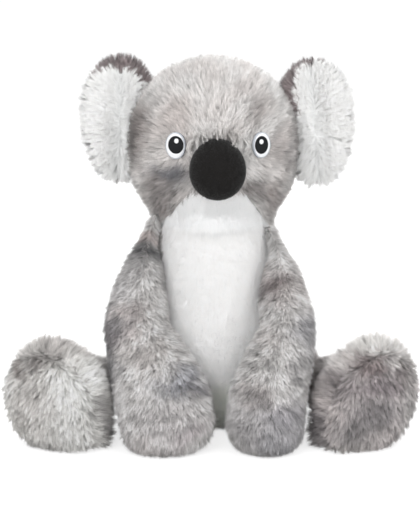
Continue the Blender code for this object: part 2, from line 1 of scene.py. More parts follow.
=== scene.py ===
"""A sitting plush koala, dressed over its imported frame: pile cloth, fleece, embroidery and filling.

Metres, +Z up, the koala faces -Y. Right and left are the koala's own, so its right hand is at -X.
The sections follow the toy as it is sewn: torso, head, nose, eyes, ears, arms, legs, and the table
top that it sits on.
"""

import math

import bpy
import numpy as np
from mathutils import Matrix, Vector
from mathutils.kdtree import KDTree


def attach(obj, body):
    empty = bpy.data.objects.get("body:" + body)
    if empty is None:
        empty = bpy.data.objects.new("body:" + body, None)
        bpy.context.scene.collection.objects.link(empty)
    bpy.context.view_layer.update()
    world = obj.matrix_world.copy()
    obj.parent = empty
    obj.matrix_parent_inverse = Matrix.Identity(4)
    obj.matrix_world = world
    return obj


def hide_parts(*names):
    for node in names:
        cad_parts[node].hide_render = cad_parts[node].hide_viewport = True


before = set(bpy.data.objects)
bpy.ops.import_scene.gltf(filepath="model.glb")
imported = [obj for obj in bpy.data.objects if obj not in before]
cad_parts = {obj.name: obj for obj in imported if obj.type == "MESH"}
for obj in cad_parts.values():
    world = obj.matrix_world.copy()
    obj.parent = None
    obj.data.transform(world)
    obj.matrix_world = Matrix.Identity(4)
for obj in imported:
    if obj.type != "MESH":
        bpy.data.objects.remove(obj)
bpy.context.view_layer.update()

# The torso
# A pear-shaped bag of long grey pile cloth, with a panel of short white pile let into its front
# from the neck seam down between the arms. It is stuffed with loose fibre and closed at the neck.

NECK_HEIGHT = 0.180
NECK_HALF = (0.054, 0.050)
TORSO_HALF = (0.084, 0.070)
TORSO_GIRTHS = (
    (0.03, 0.82), (0.12, 0.95), (0.24, 1.00), (0.38, 0.98), (0.52, 0.91), (0.66, 0.83),
    (0.80, 0.78), (0.92, 0.70),
)
SINK = 0.009
PILE_ROOM = 0.005
FILLING_ROOM = PILE_ROOM + 0.002
GROUND_ROOM = 0.004
HAIR_FLOOR = 0.0003
SEAM_MARGIN = 0.001
BELLY_HALF = 0.047
BELLY_SHIFT = 0.004
BELLY_LOW_HALF = 0.040
BELLY_LOW = 0.046
SEAT_RIM = 0.004
SEAT_CROWDING = 0.15
SPECK_SHADE = 0.55


def dye(red, green, blue):
    """A colour as it shows on cloth, in the linear numbers that a shader takes."""
    shown = np.array([red, green, blue], float) / 255
    return np.where(shown <= 0.04045, shown / 12.92, ((shown + 0.055) / 1.055) ** 2.4)


def smooth_run(points, steps):
    """A smooth run through the points, with that many steps to each stretch."""
    points = np.asarray(points, float)
    ends = np.vstack([2 * points[0] - points[1], points, 2 * points[-1] - points[-2]])
    t = (np.arange(steps) / steps)[:, None]
    rows = [
        start
        + (end - before) * t / 2
        + (2 * before - 5 * start + 4 * end - after) * t**2 / 2
        + (3 * start - before - 3 * end + after) * t**3 / 2
        for before, start, end, after in zip(ends, ends[1:], ends[2:], ends[3:])
    ]
    return np.vstack([*rows, points[-1:]])


def run_lengths(points):
    """How far along the run each point lies."""
    return np.concatenate([[0.0], np.cumsum(np.linalg.norm(np.diff(points, axis=0), axis=1))])


def unit(vectors):
    """The vectors at length one."""
    return vectors / np.maximum(np.linalg.norm(vectors, axis=-1, keepdims=True), 1e-9)


def along(first, second):
    """How far each first vector reaches along its second one."""
    return np.sum(first * second, axis=-1, keepdims=True)


def quarter(start, end, width, depth):
    """Stations of a rounded end, from its pole at start to its full girth at end."""
    turns = np.linspace(0, math.pi / 2, 7)[:-1]
    return [
        (end + (start - end) * math.cos(t), width * math.sin(t), depth * math.sin(t)) for t in turns
    ]


class StuffedForm:
    """A stuffed shape: stations of (along, half width, half depth) from end to end of a spine."""

    def __init__(self, stations, spine, side=(1, 0, 0)):
        self.stations = smooth_run(stations, 8)
        self.runs = run_lengths(self.stations)
        self.spine = smooth_run(spine, 24)
        self.spine_runs = run_lengths(self.spine)
        self.ways = unit(np.gradient(self.spine, self.spine_runs, axis=0))
        self.side = np.asarray(side, float)

    def frame(self, distance):
        """The spine's points that far along, with the side, depth and spine directions there."""
        distance = np.atleast_1d(distance)
        held = np.clip(distance, 0, self.spine_runs[-1])
        way, point = (
            np.stack([np.interp(held, self.spine_runs, rows[:, k]) for k in range(3)], -1)
            for rows in (self.ways, self.spine)
        )
        way = unit(way)
        point = point + way * (distance - held)[:, None]
        side = unit(self.side - way * along(np.broadcast_to(self.side, way.shape), way))
        return point, side, np.cross(way, side), way

    def place(self, ball):
        """Where the points of a unit ball go on the form."""
        turned = np.arccos(np.clip(-ball[:, 2], -1, 1)) / math.pi * self.runs[-1]
        distance, width, depth = (
            np.interp(turned, self.runs, self.stations[:, k]) for k in range(3)
        )
        point, side, deep, _ = self.frame(distance)
        flat = unit(ball[:, :2])
        return (
            point
            + side * (np.maximum(width, 0) * flat[:, 0])[:, None]
            + deep * (np.maximum(depth, 0) * flat[:, 1])[:, None]
        )


def settle(points):
    """The points of a form after it has settled on the table."""
    softness = 0.003
    height = softness * np.logaddexp(0, points[:, 2] / softness)
    return np.column_stack([points[:, :2], height])


class Cloth:
    """A smooth sewn skin: its points, its faces, and where each face lies on the flat pattern."""

    def __init__(self, points, faces, flat):
        self.points, self.faces, self.flat = points, faces, flat
        corners = self.triangles()
        a, b, c = (points[corners[:, k]] for k in range(3))
        crossed = np.cross(b - a, c - a)
        self.normals = np.zeros_like(points)
        for k in range(3):
            np.add.at(self.normals, corners[:, k], crossed)
        self.normals = unit(self.normals)

    def triangles(self):
        """The faces as triangles."""
        squares = self.faces[self.faces[:, 3] >= 0]
        return np.vstack([self.faces[:, :3], squares[:, [0, 2, 3]]])

    def inset(self, depth):
        """The skin drawn in by a depth, or by one for each point."""
        return Cloth(self.points - self.normals * depth, self.faces, self.flat)

    def part(self, chosen):
        """The faces whose middles are chosen, with the normals of the whole skin."""
        middles = np.where(self.faces[:, 3:] >= 0, 1, 0)
        corners = self.points[np.maximum(self.faces, 0)]
        weight = np.concatenate([np.ones((len(self.faces), 3)), middles], 1)[:, :, None]
        centre = (corners * weight).sum(1) / weight.sum(1)
        held = chosen(centre)
        made = Cloth(self.points, self.faces[held], self.flat[held])
        made.normals = self.normals
        return made


def sewn(place, rows, columns, upright=True):
    """A closed skin, shaped from a ball whose points go where place puts them."""

    def pattern(*corners):
        return np.stack([np.column_stack(np.broadcast_arrays(u, v)) for u, v in corners], 1)

    turn = math.pi * (np.arange(rows) + 1) / (rows + 1)
    round_ = 2 * math.pi * np.arange(columns) / columns
    t, r = (a.ravel() for a in np.meshgrid(turn, round_, indexing="ij"))
    ball = np.column_stack([np.sin(t) * np.cos(r), np.sin(t) * np.sin(r), -np.cos(t)])
    ball = np.vstack([[0, 0, -1], ball, [0, 0, 1]])
    if not upright:
        ball = ball[:, [0, 2, 1]]
    points = place(ball)
    i, j = (a.ravel() for a in np.meshgrid(np.arange(rows - 1), np.arange(columns), indexing="ij"))
    near, far, after = 1 + i * columns, 1 + (i + 1) * columns, (j + 1) % columns
    squares = np.column_stack([near + j, near + after, far + after, far + j])
    low, high = (i + 1) / (rows + 1), (i + 2) / (rows + 1)
    left, right = j / columns, (j + 1) / columns
    square_flat = pattern((left, low), (right, low), (right, high), (left, high))

    last, step = len(points) - 1, 1 / (rows + 1)
    j = np.arange(columns)
    after, none = (j + 1) % columns, np.full(columns, -1)
    left, middle, right = j / columns, (j + 0.5) / columns, (j + 1) / columns
    foot = np.column_stack([np.zeros(columns, int), 1 + after, 1 + j, none])
    ring = last - columns
    head = np.column_stack([np.full(columns, last), ring + j, ring + after, none])
    foot_flat = pattern((middle, 0.0), (right, step), (left, step), (middle, 0.0))
    head_flat = pattern((middle, 1.0), (left, 1 - step), (right, 1 - step), (middle, 1.0))

    faces = np.vstack([squares, foot, head])
    flat = np.vstack([square_flat, foot_flat, head_flat])
    made = Cloth(points, faces, flat)
    a, b, c = (points[made.triangles()[:, k]] for k in range(3))
    if np.sum(a * np.cross(b, c)) < 0:
        order = np.where(faces[:, 3:] >= 0, [3, 2, 1, 0], [2, 1, 0, 3])
        flat = np.take_along_axis(flat, order[:, :, None], 1)
        made = Cloth(points, np.take_along_axis(faces, order, 1), flat)
    return made


def mesh_object(name, points, faces, flat, look, body, masks=None, normals=None):
    """A mesh from arrays, with its bake map, its look, and the body that it rides on.

    A look is a material with the name of its slot, which is not used here.
    """
    mesh = bpy.data.meshes.new(name)
    sizes = np.where(faces[:, 3] >= 0, 4, 3)
    corner = faces >= 0
    mesh.vertices.add(len(points))
    mesh.vertices.foreach_set("co", np.asarray(points, np.float32).ravel())
    mesh.loops.add(int(sizes.sum()))
    mesh.loops.foreach_set("vertex_index", faces[corner].astype(np.int32))
    mesh.polygons.add(len(faces))
    starts = np.concatenate([[0], np.cumsum(sizes)[:-1]])
    mesh.polygons.foreach_set("loop_start", starts.astype(np.int32))
    mesh.update(calc_edges=True)
    pattern = mesh.uv_layers.new(name="OFBake")
    pattern.data.foreach_set("uv", flat[corner].astype(np.float32).ravel())
    for mask, values in (masks or {}).items():
        kind, key = "FLOAT", "value"
        if values.ndim == 2:
            kind, key = "FLOAT_COLOR", "color"
            values = np.column_stack([values, np.ones(len(values))])
        layer = mesh.attributes.new(mask, kind, "POINT")
        layer.data.foreach_set(key, values.astype(np.float32).ravel())
    mesh.validate()
    mesh.shade_smooth()
    if normals is not None:
        mesh.normals_split_custom_set_from_vertices(normals.astype(np.float32))
    material, slot = look
    mesh.materials.append(material)
    made = bpy.data.objects.new(name, mesh)
    bpy.context.scene.collection.objects.link(made)
    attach(made, body)
    return made


def cloth_object(name, cloth, look, body, node=None):
    """A cloth skin as a piece of the toy, on its body, with the imported solid it stands for hidden.
    """
    used = np.unique(cloth.faces[cloth.faces >= 0])
    order = np.full(len(cloth.points), -1)
    order[used] = np.arange(len(used))
    faces = np.where(cloth.faces >= 0, order[np.maximum(cloth.faces, 0)], -1)
    made = mesh_object(name, cloth.points[used], faces, cloth.flat, look, body)
    if node is not None:
        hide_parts(node)


def scatter(cloth, count, rng, crowding=None):
    """Points spread evenly over a cloth, with the normals there."""
    corners = cloth.triangles()
    a, b, c = (cloth.points[corners[:, k]] for k in range(3))
    room = np.linalg.norm(np.cross(b - a, c - a), axis=1)
    if crowding is not None:
        room = room * crowding((a + b + c) / 3)
    chosen = rng.choice(len(corners), count, p=room / room.sum())
    first, second = np.sqrt(rng.random(count)), rng.random(count)
    shares = np.column_stack([1 - first, first * (1 - second), first * second])[:, :, None]
    picked = corners[chosen]
    at, facing = ((rows[picked] * shares).sum(1) for rows in (cloth.points, cloth.normals))
    return at, unit(facing)


def drift(points, reach, seed):
    """A slow drift between -1 and 1 over space, whose patches are about that reach across."""
    rng = np.random.default_rng(seed)
    total = np.zeros(len(points))
    for _ in range(9):
        way = unit(rng.normal(size=3)) * rng.uniform(0.6, 1.5) * math.pi / reach
        total += np.sin(points @ way + rng.uniform(0, 2 * math.pi))
    return np.tanh(total / 2.6)


def patched(points, base, patches, seed, wander=0.006):
    """The dye of each point: a base colour, with soft-edged patches.

    A patch is its place and its reach in millimetres, its colour and its share.
    """
    colour = np.tile(base, (len(points), 1))
    moved = points + wander * np.column_stack([drift(points, 0.022, seed + k) for k in range(3)])
    moved += wander / 3 * np.column_stack([drift(points, 0.006, seed + 3 + k) for k in range(3)])
    for place, reach, shade, share in patches:
        away = np.linalg.norm((moved - np.array(place) / 1000) / (np.array(reach) / 1000), axis=1)
        held = (share * np.exp(-(away**3)))[:, None]
        colour = colour * (1 - held) + dye(*shade) * held
    return colour


def pile(
    name, cloth, count, seed, length, comb, colour, look, body,
    lean=48, gather=0.4, tuft=14, thick=0.00017, crowding=None, bare=None, unruly=0.3,
    fleck=0.07, speck=0.0, roundness=0.45,
):
    """Pile on a cloth: tapered hairs that lean the way they are combed and gather into tufts."""
    rng = np.random.default_rng(seed)
    roots, normals = scatter(cloth, count, rng, crowding)
    if bare is not None:
        held = ~bare(roots)
        roots, normals = roots[held], normals[held]
    total = len(roots)
    grid = math.ceil(math.sqrt(total))
    middle = roots.mean(axis=0)
    row = np.argsort(np.argsort(roots[:, 2])) // grid
    order = np.lexsort((np.arctan2(roots[:, 1] - middle[1], roots[:, 0] - middle[0]), row))
    roots, normals = roots[order], normals[order]
    centres, centre_normals = scatter(cloth, max(total // tuft, 4), rng, crowding)
    tree = KDTree(len(centres))
    for k, centre in enumerate(centres):
        tree.insert(centre, k)
    tree.balance()
    near = np.array([tree.find(root)[1] for root in roots])
    tuft_turn = rng.normal(0, unruly, len(centres))
    tuft_lean = rng.normal(0, 7, len(centres))
    tuft_length = rng.uniform(0.82, 1.12, len(centres))
    dark = rng.random(len(centres)) < (speck(centres) if callable(speck) else speck)

    def tips(at, normal, turn, tilt, size):
        way = comb(at)
        lay = unit(way - normal * along(way, normal))
        across = np.cross(normal, lay)
        lay = lay * np.cos(turn)[:, None] + across * np.sin(turn)[:, None]
        leant = np.radians(np.clip(lean + tilt, 2, 84))[:, None]
        return at + (normal * np.cos(leant) + lay * np.sin(leant)) * size[:, None], across

    tip, across = tips(
        roots, normals, tuft_turn[near] + rng.normal(0, 0.18, total),
        tuft_lean[near] + rng.normal(0, 7, total),
        length(roots) * tuft_length[near] * rng.uniform(0.75, 1.1, total),
    )
    lead, _ = tips(centres, centre_normals, tuft_turn, tuft_lean, length(centres) * tuft_length)
    tip = tip + (lead[near] - tip) * (gather * rng.uniform(0.7, 1.15, total))[:, None]
    shaft = unit(tip - roots)
    second = np.cross(shaft, across)
    spin = rng.uniform(0, 2 * math.pi, total)
    width = (thick * rng.uniform(0.8, 1.15, total))[:, None]
    points, faced = [], []
    for corner in range(3):
        a = (spin + corner * 2 * math.pi / 3)[:, None]
        side = across * np.cos(a) + second * np.sin(a)
        points.append(roots + side * width)
        faced.append(unit(normals + side * roundness))
    points = np.stack([*points, tip], 1)
    faced = np.stack([*faced, unit(normals + shaft * roundness)], 1)
    points[:, :, 2] = np.maximum(points[:, :, 2], HAIR_FLOOR)
    face = np.array([(0, 1, 3, -1), (1, 2, 3, -1), (2, 0, 3, -1)])
    faces = np.where(face >= 0, face + 4 * np.arange(total)[:, None, None], -1).reshape(-1, 4)
    cell = np.column_stack([np.arange(total) % grid, np.arange(total) // grid])
    fan = np.array([(0.1, 0.1), (0.9, 0.1), (0.5, 0.9), (0.5, 0.4)])[np.maximum(face, 0)]
    flat = (cell[:, None, None, :] + fan) / grid
    shade = colour(roots) * (
        np.where(dark, SPECK_SHADE, 1.0)[near]
        * np.clip(rng.normal(1, fleck, len(centres)), 0.5, 1.4)[near]
        * np.clip(rng.normal(1, fleck, total), 0.5, 1.4)
    )[:, None]
    masks = {
        "dye": np.repeat(np.clip(shade, 0, 0.98), 4, axis=0),
        "hair_share": np.tile([0, 0, 0, 1.0], total),
        "hair_chance": np.repeat(rng.random(total), 4),
    }
    mesh_object(
        name, points.reshape(-1, 3), faces, flat.reshape(-1, 4, 2), look, body, masks,
        faced.reshape(-1, 3),
    )


def effect(name, inputs, outputs):
    """An empty shader effect, with its inputs at their usual values, and its outputs."""
    group = bpy.data.node_groups.new(name, "ShaderNodeTree")
    for label, value in inputs.items():
        kind = "NodeSocketColor" if isinstance(value, tuple) else "NodeSocketFloat"
        group.interface.new_socket(label, in_out="INPUT", socket_type=kind).default_value = value
    for label, kind in outputs.items():
        group.interface.new_socket(label, in_out="OUTPUT", socket_type="NodeSocket" + kind)
    given, made = group.nodes.new("NodeGroupInput"), group.nodes.new("NodeGroupOutput")
    return group, given.outputs, made.inputs


def added(tree, kind, inputs, **settings):
    """A new node with its settings, its inputs set to values or joined to other nodes' outputs."""
    made = tree.nodes.new("ShaderNode" + kind)
    for name, value in settings.items():
        setattr(made, name, value)
    for label, value in inputs.items():
        if isinstance(value, bpy.types.NodeSocket):
            tree.links.new(value, made.inputs[label])
        else:
            made.inputs[label].default_value = value
    return made


def mixed(tree, blend, share, first, second):
    """The colour of a Mix node between two sockets or values."""
    inputs = {0: share, 6: first, 7: second}
    return added(tree, "Mix", inputs, data_type="RGBA", blend_type=blend).outputs[2]


def counted(tree, operation, first, second):
    """The result of a Math node between two sockets or values."""
    return added(tree, "Math", {0: first, 1: second}, operation=operation).outputs[0]


def pile_tone():
    """The colour along dyed hairs: shaded roots, pale tips, and a fine mottle from hair to hair."""
    group, given, made = effect(
        "pile tone",
        {
            "Root shade": 0.5,
            "Tip frost": 0.3,
            "Frost colour": (0.8, 0.8, 0.8, 1),
            "Mottle": 0.2,
            "Mottle scale": 160.0,
        },
        {"Colour": "Color"},
    )
    dyed, share, chance = (
        added(group, "Attribute", {}, attribute_name=mask).outputs
        for mask in ("dye", "hair_share", "hair_chance")
    )
    place = added(group, "TexCoord", {}).outputs["Object"]
    inputs = {"Vector": place, "Scale": given["Mottle scale"], "Detail": 3.0}
    noise = added(group, "TexNoise", inputs).outputs["Fac"]
    # The roots are darker, partly because the cloth is dyed that way and partly as painted shade deep
    # in the pile.
    high = counted(group, "POWER", share["Fac"], 0.7)
    dark = counted(group, "SUBTRACT", 1.0, given["Root shade"])
    lift = counted(group, "ADD", given["Root shade"], counted(group, "MULTIPLY", dark, high))
    spread = counted(group, "SUBTRACT", noise, 0.5)
    spread = counted(group, "MULTIPLY", spread, given["Mottle"])
    level = counted(group, "MULTIPLY", lift, counted(group, "ADD", spread, 1.0))
    grey = added(group, "CombineColor", {0: level, 1: level, 2: level}).outputs[0]
    body = mixed(group, "MULTIPLY", 1.0, dyed["Color"], grey)
    frost = counted(group, "MULTIPLY", counted(group, "POWER", high, 3.0), given["Tip frost"])
    frost = counted(group, "MULTIPLY", frost, chance["Fac"])
    group.links.new(mixed(group, "MIX", frost, body, given["Frost colour"]), made["Colour"])
    return group


def fibre_grain():
    """A fine fibrous grain: a colour that varies between two tones, and the fibres' height."""
    group, given, made = effect(
        "fibre grain",
        {"Dark": (0.3, 0.3, 0.3, 1), "Light": (0.6, 0.6, 0.6, 1), "Scale": 600.0},
        {"Colour": "Color", "Height": "Float"},
    )
    place = added(group, "TexCoord", {}).outputs["Object"]
    inputs = {"Vector": place, "Scale": given["Scale"], "Detail": 4.0, "Distortion": 1.2}
    grain = added(group, "TexNoise", inputs).outputs["Fac"]
    group.links.new(mixed(group, "MIX", grain, given["Dark"], given["Light"]), made["Colour"])
    group.links.new(grain, made["Height"])
    return group


PILE_TONE = pile_tone()
FIBRE_GRAIN = fibre_grain()


def finish(name, slot, roughness, sheen, group, values, height=0.0):
    """A look: a plain shader whose colour, and relief where it has one, come from an effect."""
    made = bpy.data.materials.new(name)
    made.use_nodes = True
    tree = made.node_tree
    shader = tree.nodes["Principled BSDF"]
    shader.inputs["Roughness"].default_value = roughness
    shader.inputs["Specular IOR Level"].default_value = 0.25
    shader.inputs["Sheen Weight"].default_value = sheen
    shader.inputs["Sheen Roughness"].default_value = 0.6
    node = tree.nodes.new("ShaderNodeGroup")
    node.node_tree = group
    for label, value in values.items():
        node.inputs[label].default_value = value
    tree.links.new(node.outputs["Colour"], shader.inputs["Base Color"])
    if height:
        inputs = {"Strength": 0.6, "Distance": height, "Height": node.outputs["Height"]}
        bump = added(tree, "Bump", inputs)
        tree.links.new(bump.outputs["Normal"], shader.inputs["Normal"])
    return made, slot


def pile_finish(name, slot, root, frost, frost_colour, mottle, mottle_scale):
    """The look of a pile, with its roots, tips and mottle."""
    values = {
        "Root shade": root, "Tip frost": frost, "Frost colour": (*frost_colour, 1),
        "Mottle": mottle, "Mottle scale": mottle_scale,
    }
    return finish(name, slot, 0.85, 0.15, PILE_TONE, values)


def grain_finish(name, slot, dark, light, roughness=0.95, sheen=0.0, scale=500.0, height=0.0004):
    """The look of ground cloth, fleece, thread or filling, in two close tones."""
    values = {"Dark": (*dark, 1), "Light": (*light, 1), "Scale": scale}
    return finish(name, slot, roughness, sheen, FIBRE_GRAIN, values, height)


GREY_PILE = pile_finish(
    "grey long pile", "mottled_grey_plush", 0.58, 0.16, dye(246, 243, 242), 0.3, 220.0
)
WHITE_PILE = pile_finish(
    "white short pile", "white_plush", 1.0, 0.3, dye(254, 254, 254), 0.02, 150.0
)
GREY_GROUND = grain_finish(
    "grey ground cloth", "mottled_grey_plush", dye(150, 144, 144), dye(190, 184, 182)
)
WHITE_GROUND = grain_finish(
    "white ground cloth", "white_plush", dye(236, 238, 238), dye(246, 247, 247)
)
FILLING = grain_finish(
    "polyester filling", "fibre_filling", dye(206, 208, 206), dye(248, 248, 246), 0.9, 0.3, 260.0,
    0.001,
)

torso_stations = (
    quarter(
        -SINK, NECK_HEIGHT * TORSO_GIRTHS[0][0],
        TORSO_HALF[0] * TORSO_GIRTHS[0][1], TORSO_HALF[1] * TORSO_GIRTHS[0][1],
    )
    + [(NECK_HEIGHT * h, TORSO_HALF[0] * g, TORSO_HALF[1] * g) for h, g in TORSO_GIRTHS]
    + [(NECK_HEIGHT, *NECK_HALF)]
    + quarter(NECK_HEIGHT + NECK_HALF[0], NECK_HEIGHT, *NECK_HALF)[::-1]
)
torso_form = StuffedForm(torso_stations, [(0, 0, 0), (0, 0, NECK_HEIGHT)])
torso_outside = sewn(lambda ball: settle(torso_form.place(ball)), 90, 120)
torso_skin = torso_outside.inset(PILE_ROOM)


def on_belly(points):
    """Whether points lie on the white belly panel."""
    x, y, z = points.T
    rise = np.clip((z - BELLY_LOW) / (0.5 * NECK_HEIGHT - BELLY_LOW), 0, 1)
    half = BELLY_LOW_HALF + (BELLY_HALF - BELLY_LOW_HALF) * rise
    below = np.clip(BELLY_LOW - z, 0, BELLY_LOW_HALF)
    half = np.where(z < BELLY_LOW, np.sqrt(BELLY_LOW_HALF**2 - below**2), half)
    return (y < 0) & (np.abs(x - BELLY_SHIFT * rise) < half)


def apart_from(test):
    """The opposite of a test of points."""
    return lambda points: ~test(points)


def above_neck(points):
    """Whether points lie past the neck seam, inside the head."""
    return points[:, 2] > NECK_HEIGHT + SEAM_MARGIN


def even(size):
    """Pile of the same length all over."""
    return lambda points: np.full(len(points), size)


def plain(colour):
    """The same dye all over."""
    return lambda points: np.tile(colour, (len(points), 1))


def downwards(spread):
    """Pile combed down, and away from the middle as much as it is spread."""
    return lambda points: np.column_stack([points[:, :2] * spread, np.full(len(points), -1.0)])


def belly_colour(points):
    """White, greyer and a little green low down as painted shade where the belly turns under."""
    # Painted shadow: a faint grey arc dyed into the belly's pile along the neck seam.
    seam_shadow = ((8, -50, 177.5), (34, 30, 2.2), (222, 224, 224), 0.6)
    colour = patched(points, dye(253, 252, 251), [seam_shadow], 3, 0.001)
    # Painted shade: the pile below the belly's lower edge is dyed greyer and a little green, where it
    # turns under.
    shade = np.clip((0.052 - points[:, 2]) / 0.014, 0, 1)[:, None] ** 0.8
    return colour * (1 - shade) + dye(246, 248, 239) * shade


def torso_colour(points):
    """Mottled greys on the back and sides."""
    colour = patched(
        points, dye(228, 224, 222),
        [
            ((-60, -30, 172), (14, 40, 10), (166, 150, 147), 0.8),
            ((-50, -30, 150), (20, 30, 16), (94, 92, 94), 0.85),
            ((60, -20, 150), (22, 30, 20), (170, 164, 165), 0.7),
            ((30, 70, 100), (35, 40, 30), (164, 156, 155), 0.7),
            ((-40, 60, 60), (30, 40, 35), (244, 241, 238), 0.7),
        ],
        11,
    )
    return colour * (1 + 0.18 * drift(points, 0.03, 21))[:, None]


torso_back, belly = torso_skin.part(apart_from(on_belly)), torso_skin.part(on_belly)
cloth_object("torso_cover_cloth", torso_back, GREY_GROUND, "torso", "torso_cover")
cloth_object("belly_panel_cloth", belly, WHITE_GROUND, "torso", "belly_panel")
cloth_object(
    "torso_filling_fibre", torso_outside.inset(FILLING_ROOM), FILLING, "torso", "torso_filling"
)


def low_seat(points):
    """Pile is thinner where the koala sits on it."""
    return np.where(points[:, 2] < SEAT_RIM, SEAT_CROWDING, 1.0)


def torso_crowding(points):
    """Where the torso's cover has its hairs."""
    return low_seat(points) * (points[:, 2] < NECK_HEIGHT)


pile(
    "torso_cover_pile", torso_back, 50000, 101, even(0.0110), downwards(3), torso_colour,
    GREY_PILE, "torso", lean=50, crowding=torso_crowding, bare=above_neck, thick=0.0002,
    fleck=0.12, speck=0.06,
)
pile(
    "belly_panel_pile", belly, 62000, 102, even(0.0070), downwards(1), belly_colour, WHITE_PILE,
    "torso", lean=62, gather=0.15, tuft=20, thick=0.00018, crowding=torso_crowding,
    bare=above_neck, unruly=0.15, fleck=0.012, roundness=0.2,
)

# The head
# A round ball of pale grey pile cloth, sewn to the torso at the neck seam, with a white panel under
# the nose that carries on from the belly. Its pile is brushed away from the middle of the face.

HEAD_HEIGHT = 0.145
HEAD_HALF = (0.075, 0.066)
HEAD_GIRTHS = ((0.07, 0.76), (0.15, 0.86), (0.25, 0.95), (0.37, 0.99))
HEAD_WIDEST = 0.5
FACE_TURN = math.radians(4.1)
EYE_HEIGHT = 0.073
EYE_SPREAD = math.radians(29.5)
NOSE_TURN = math.radians(2.75)
NOSE_HEIGHT = 0.054
SIDES = {"right": -1.0, "left": 1.0}
FACE_MIDDLE = (0.004, -0.064, NECK_HEIGHT + 0.070)
FACE_PARTING = 0.002
CHIN_HEIGHT = 0.034
CHIN_HALF = 0.047
CHIN_TAPER = 0.024
NOSE_RIM = (0.0245, 0.03, 0.0265)
NOSE_BARE = (0.0210, 0.03, 0.0225)
EYE_BARE = (0.0078, 0.012, 0.0095)

head_stations = (
    quarter(-NECK_HALF[0], 0, *NECK_HALF)
    + [(0, *NECK_HALF)]
    + [(HEAD_HEIGHT * h, HEAD_HALF[0] * g, HEAD_HALF[1] * g) for h, g in HEAD_GIRTHS]
    + [(HEAD_HEIGHT * HEAD_WIDEST, *HEAD_HALF)]
    + quarter(HEAD_HEIGHT, HEAD_HEIGHT * HEAD_WIDEST, *HEAD_HALF)[::-1]
)
head_form = StuffedForm(head_stations, [(0, 0, NECK_HEIGHT), (0, 0, NECK_HEIGHT + HEAD_HEIGHT)])
head_outside = sewn(head_form.place, 90, 120)
head_skin = head_outside.inset(PILE_ROOM)


def on_head(height, turn):
    """The point at that height above the neck, turned from the front towards +X, and its normal."""
    width, depth = (
        np.interp(height, head_form.stations[:, 0], head_form.stations[:, k]) for k in (1, 2)
    )
    spot = np.array([width * math.sin(turn), -depth * math.cos(turn), NECK_HEIGHT + height])
    normal = unit(np.array([math.sin(turn) / width, -math.cos(turn) / depth, 0.0]))
    return spot, normal


nose_spot, nose_normal = on_head(NOSE_HEIGHT, NOSE_TURN)
eye_spots = {h: on_head(EYE_HEIGHT, FACE_TURN + s * EYE_SPREAD) for h, s in SIDES.items()}


def on_chin(points):
    """Whether points lie on the white panel under the nose."""
    x, y, z = points.T
    turned = x * math.cos(FACE_TURN) + y * math.sin(FACE_TURN)
    rise = np.clip((z - NECK_HEIGHT) / CHIN_HEIGHT, 0, 1)
    wide = np.abs(turned) < CHIN_HALF - CHIN_TAPER * rise
    return (y < 0) & (z < NECK_HEIGHT + CHIN_HEIGHT) & wide


def below_neck(points):
    """Whether points lie past the neck seam, inside the torso."""
    return points[:, 2] < NECK_HEIGHT - SEAM_MARGIN


def head_comb(points):
    """Pile brushed away from between the eyes, and away from each eye close to it."""
    way = unit(points - FACE_MIDDLE) + [0, 0, 0.1]
    for spot, _ in eye_spots.values():
        away = points - spot
        near = np.exp(-np.sum(away**2, axis=1) / (2 * 0.012**2))[:, None]
        way = way * (1 - near) + unit(away) * near * 1.6
    away = points - nose_spot
    rim = np.linalg.norm(away / NOSE_RIM, axis=1)
    near = (np.exp(-(((rim - 1) / 0.12) ** 2)) * (away[:, 2] > 0.004))[:, None]
    return way * (1 - near) - unit(away) * near


def head_length(points):
    """Short pile round the eyes and the nose, longer at the back and the sides."""
    size = np.full(len(points), 0.0095)
    size += 0.0015 * np.clip(points[:, 1] / 0.05, 0, 1)
    for spot, _ in eye_spots.values():
        away = np.linalg.norm(points - spot, axis=1)
        size *= 1 - 0.45 * np.exp(-((away / 0.016) ** 4))
    away = np.linalg.norm(points - nose_spot, axis=1)
    return size * (1 - 0.25 * np.exp(-((away / 0.030) ** 4)))


def head_colour(points):
    """Pale grey, darker beside the ears and on the cheeks, with faint spots on the forehead."""
    colour = patched(
        points, dye(227, 225, 223),
        [
            ((-30, -50, 272), (22, 30, 16), (190, 183, 180), 0.6),
            ((20, -52, 296), (10, 20, 10), (170, 162, 160), 0.7),
            ((36, -52, 276), (8, 20, 16), (150, 144, 142), 0.75),
            ((-58, -30, 262), (14, 30, 30), (150, 142, 139), 0.8),
            ((-70, -22, 258), (13, 30, 38), (84, 77, 74), 0.95),
            ((-60, -36, 232), (8, 20, 8), (214, 210, 208), 0.7),
            ((70, -26, 250), (11, 30, 44), (72, 66, 64), 0.92),
            ((30, -20, 314), (34, 40, 22), (243, 241, 239), 0.8),
            ((70, -20, 285), (8, 20, 8), (96, 88, 88), 0.7),
            ((60, -35, 250), (13, 20, 22), (184, 178, 176), 0.6),
            ((-35, -54, 226), (14, 30, 10), (88, 90, 98), 0.95),
            ((-42, -48, 212), (20, 30, 14), (132, 126, 124), 0.9),
            ((-46, -40, 196), (18, 30, 10), (132, 124, 122), 0.85),
            ((30, -58, 216), (6, 20, 10), (96, 90, 88), 0.85),
            ((46, -46, 214), (14, 30, 12), (164, 156, 153), 0.85),
            ((58, -30, 203), (16, 30, 12), (156, 148, 146), 0.8),
            ((34, -56, 205), (8, 20, 8), (120, 112, 110), 0.7),
            ((0, 60, 240), (40, 40, 30), (186, 180, 178), 0.6),
            ((30, 45, 200), (30, 30, 20), (160, 154, 152), 0.6),
        ],
        31,
    )
    side = np.clip(np.abs(points[:, 0]) / 0.06, 0, 1) ** 2
    fine = (0.08 + 0.18 * side) * drift(points, 0.0065, 41)
    warm = 0.5 + 0.5 * drift(points, 0.016, 43)[:, None]
    return colour * (1 + fine)[:, None] * (1 - warm * [0.05, 0.08, 0.09])


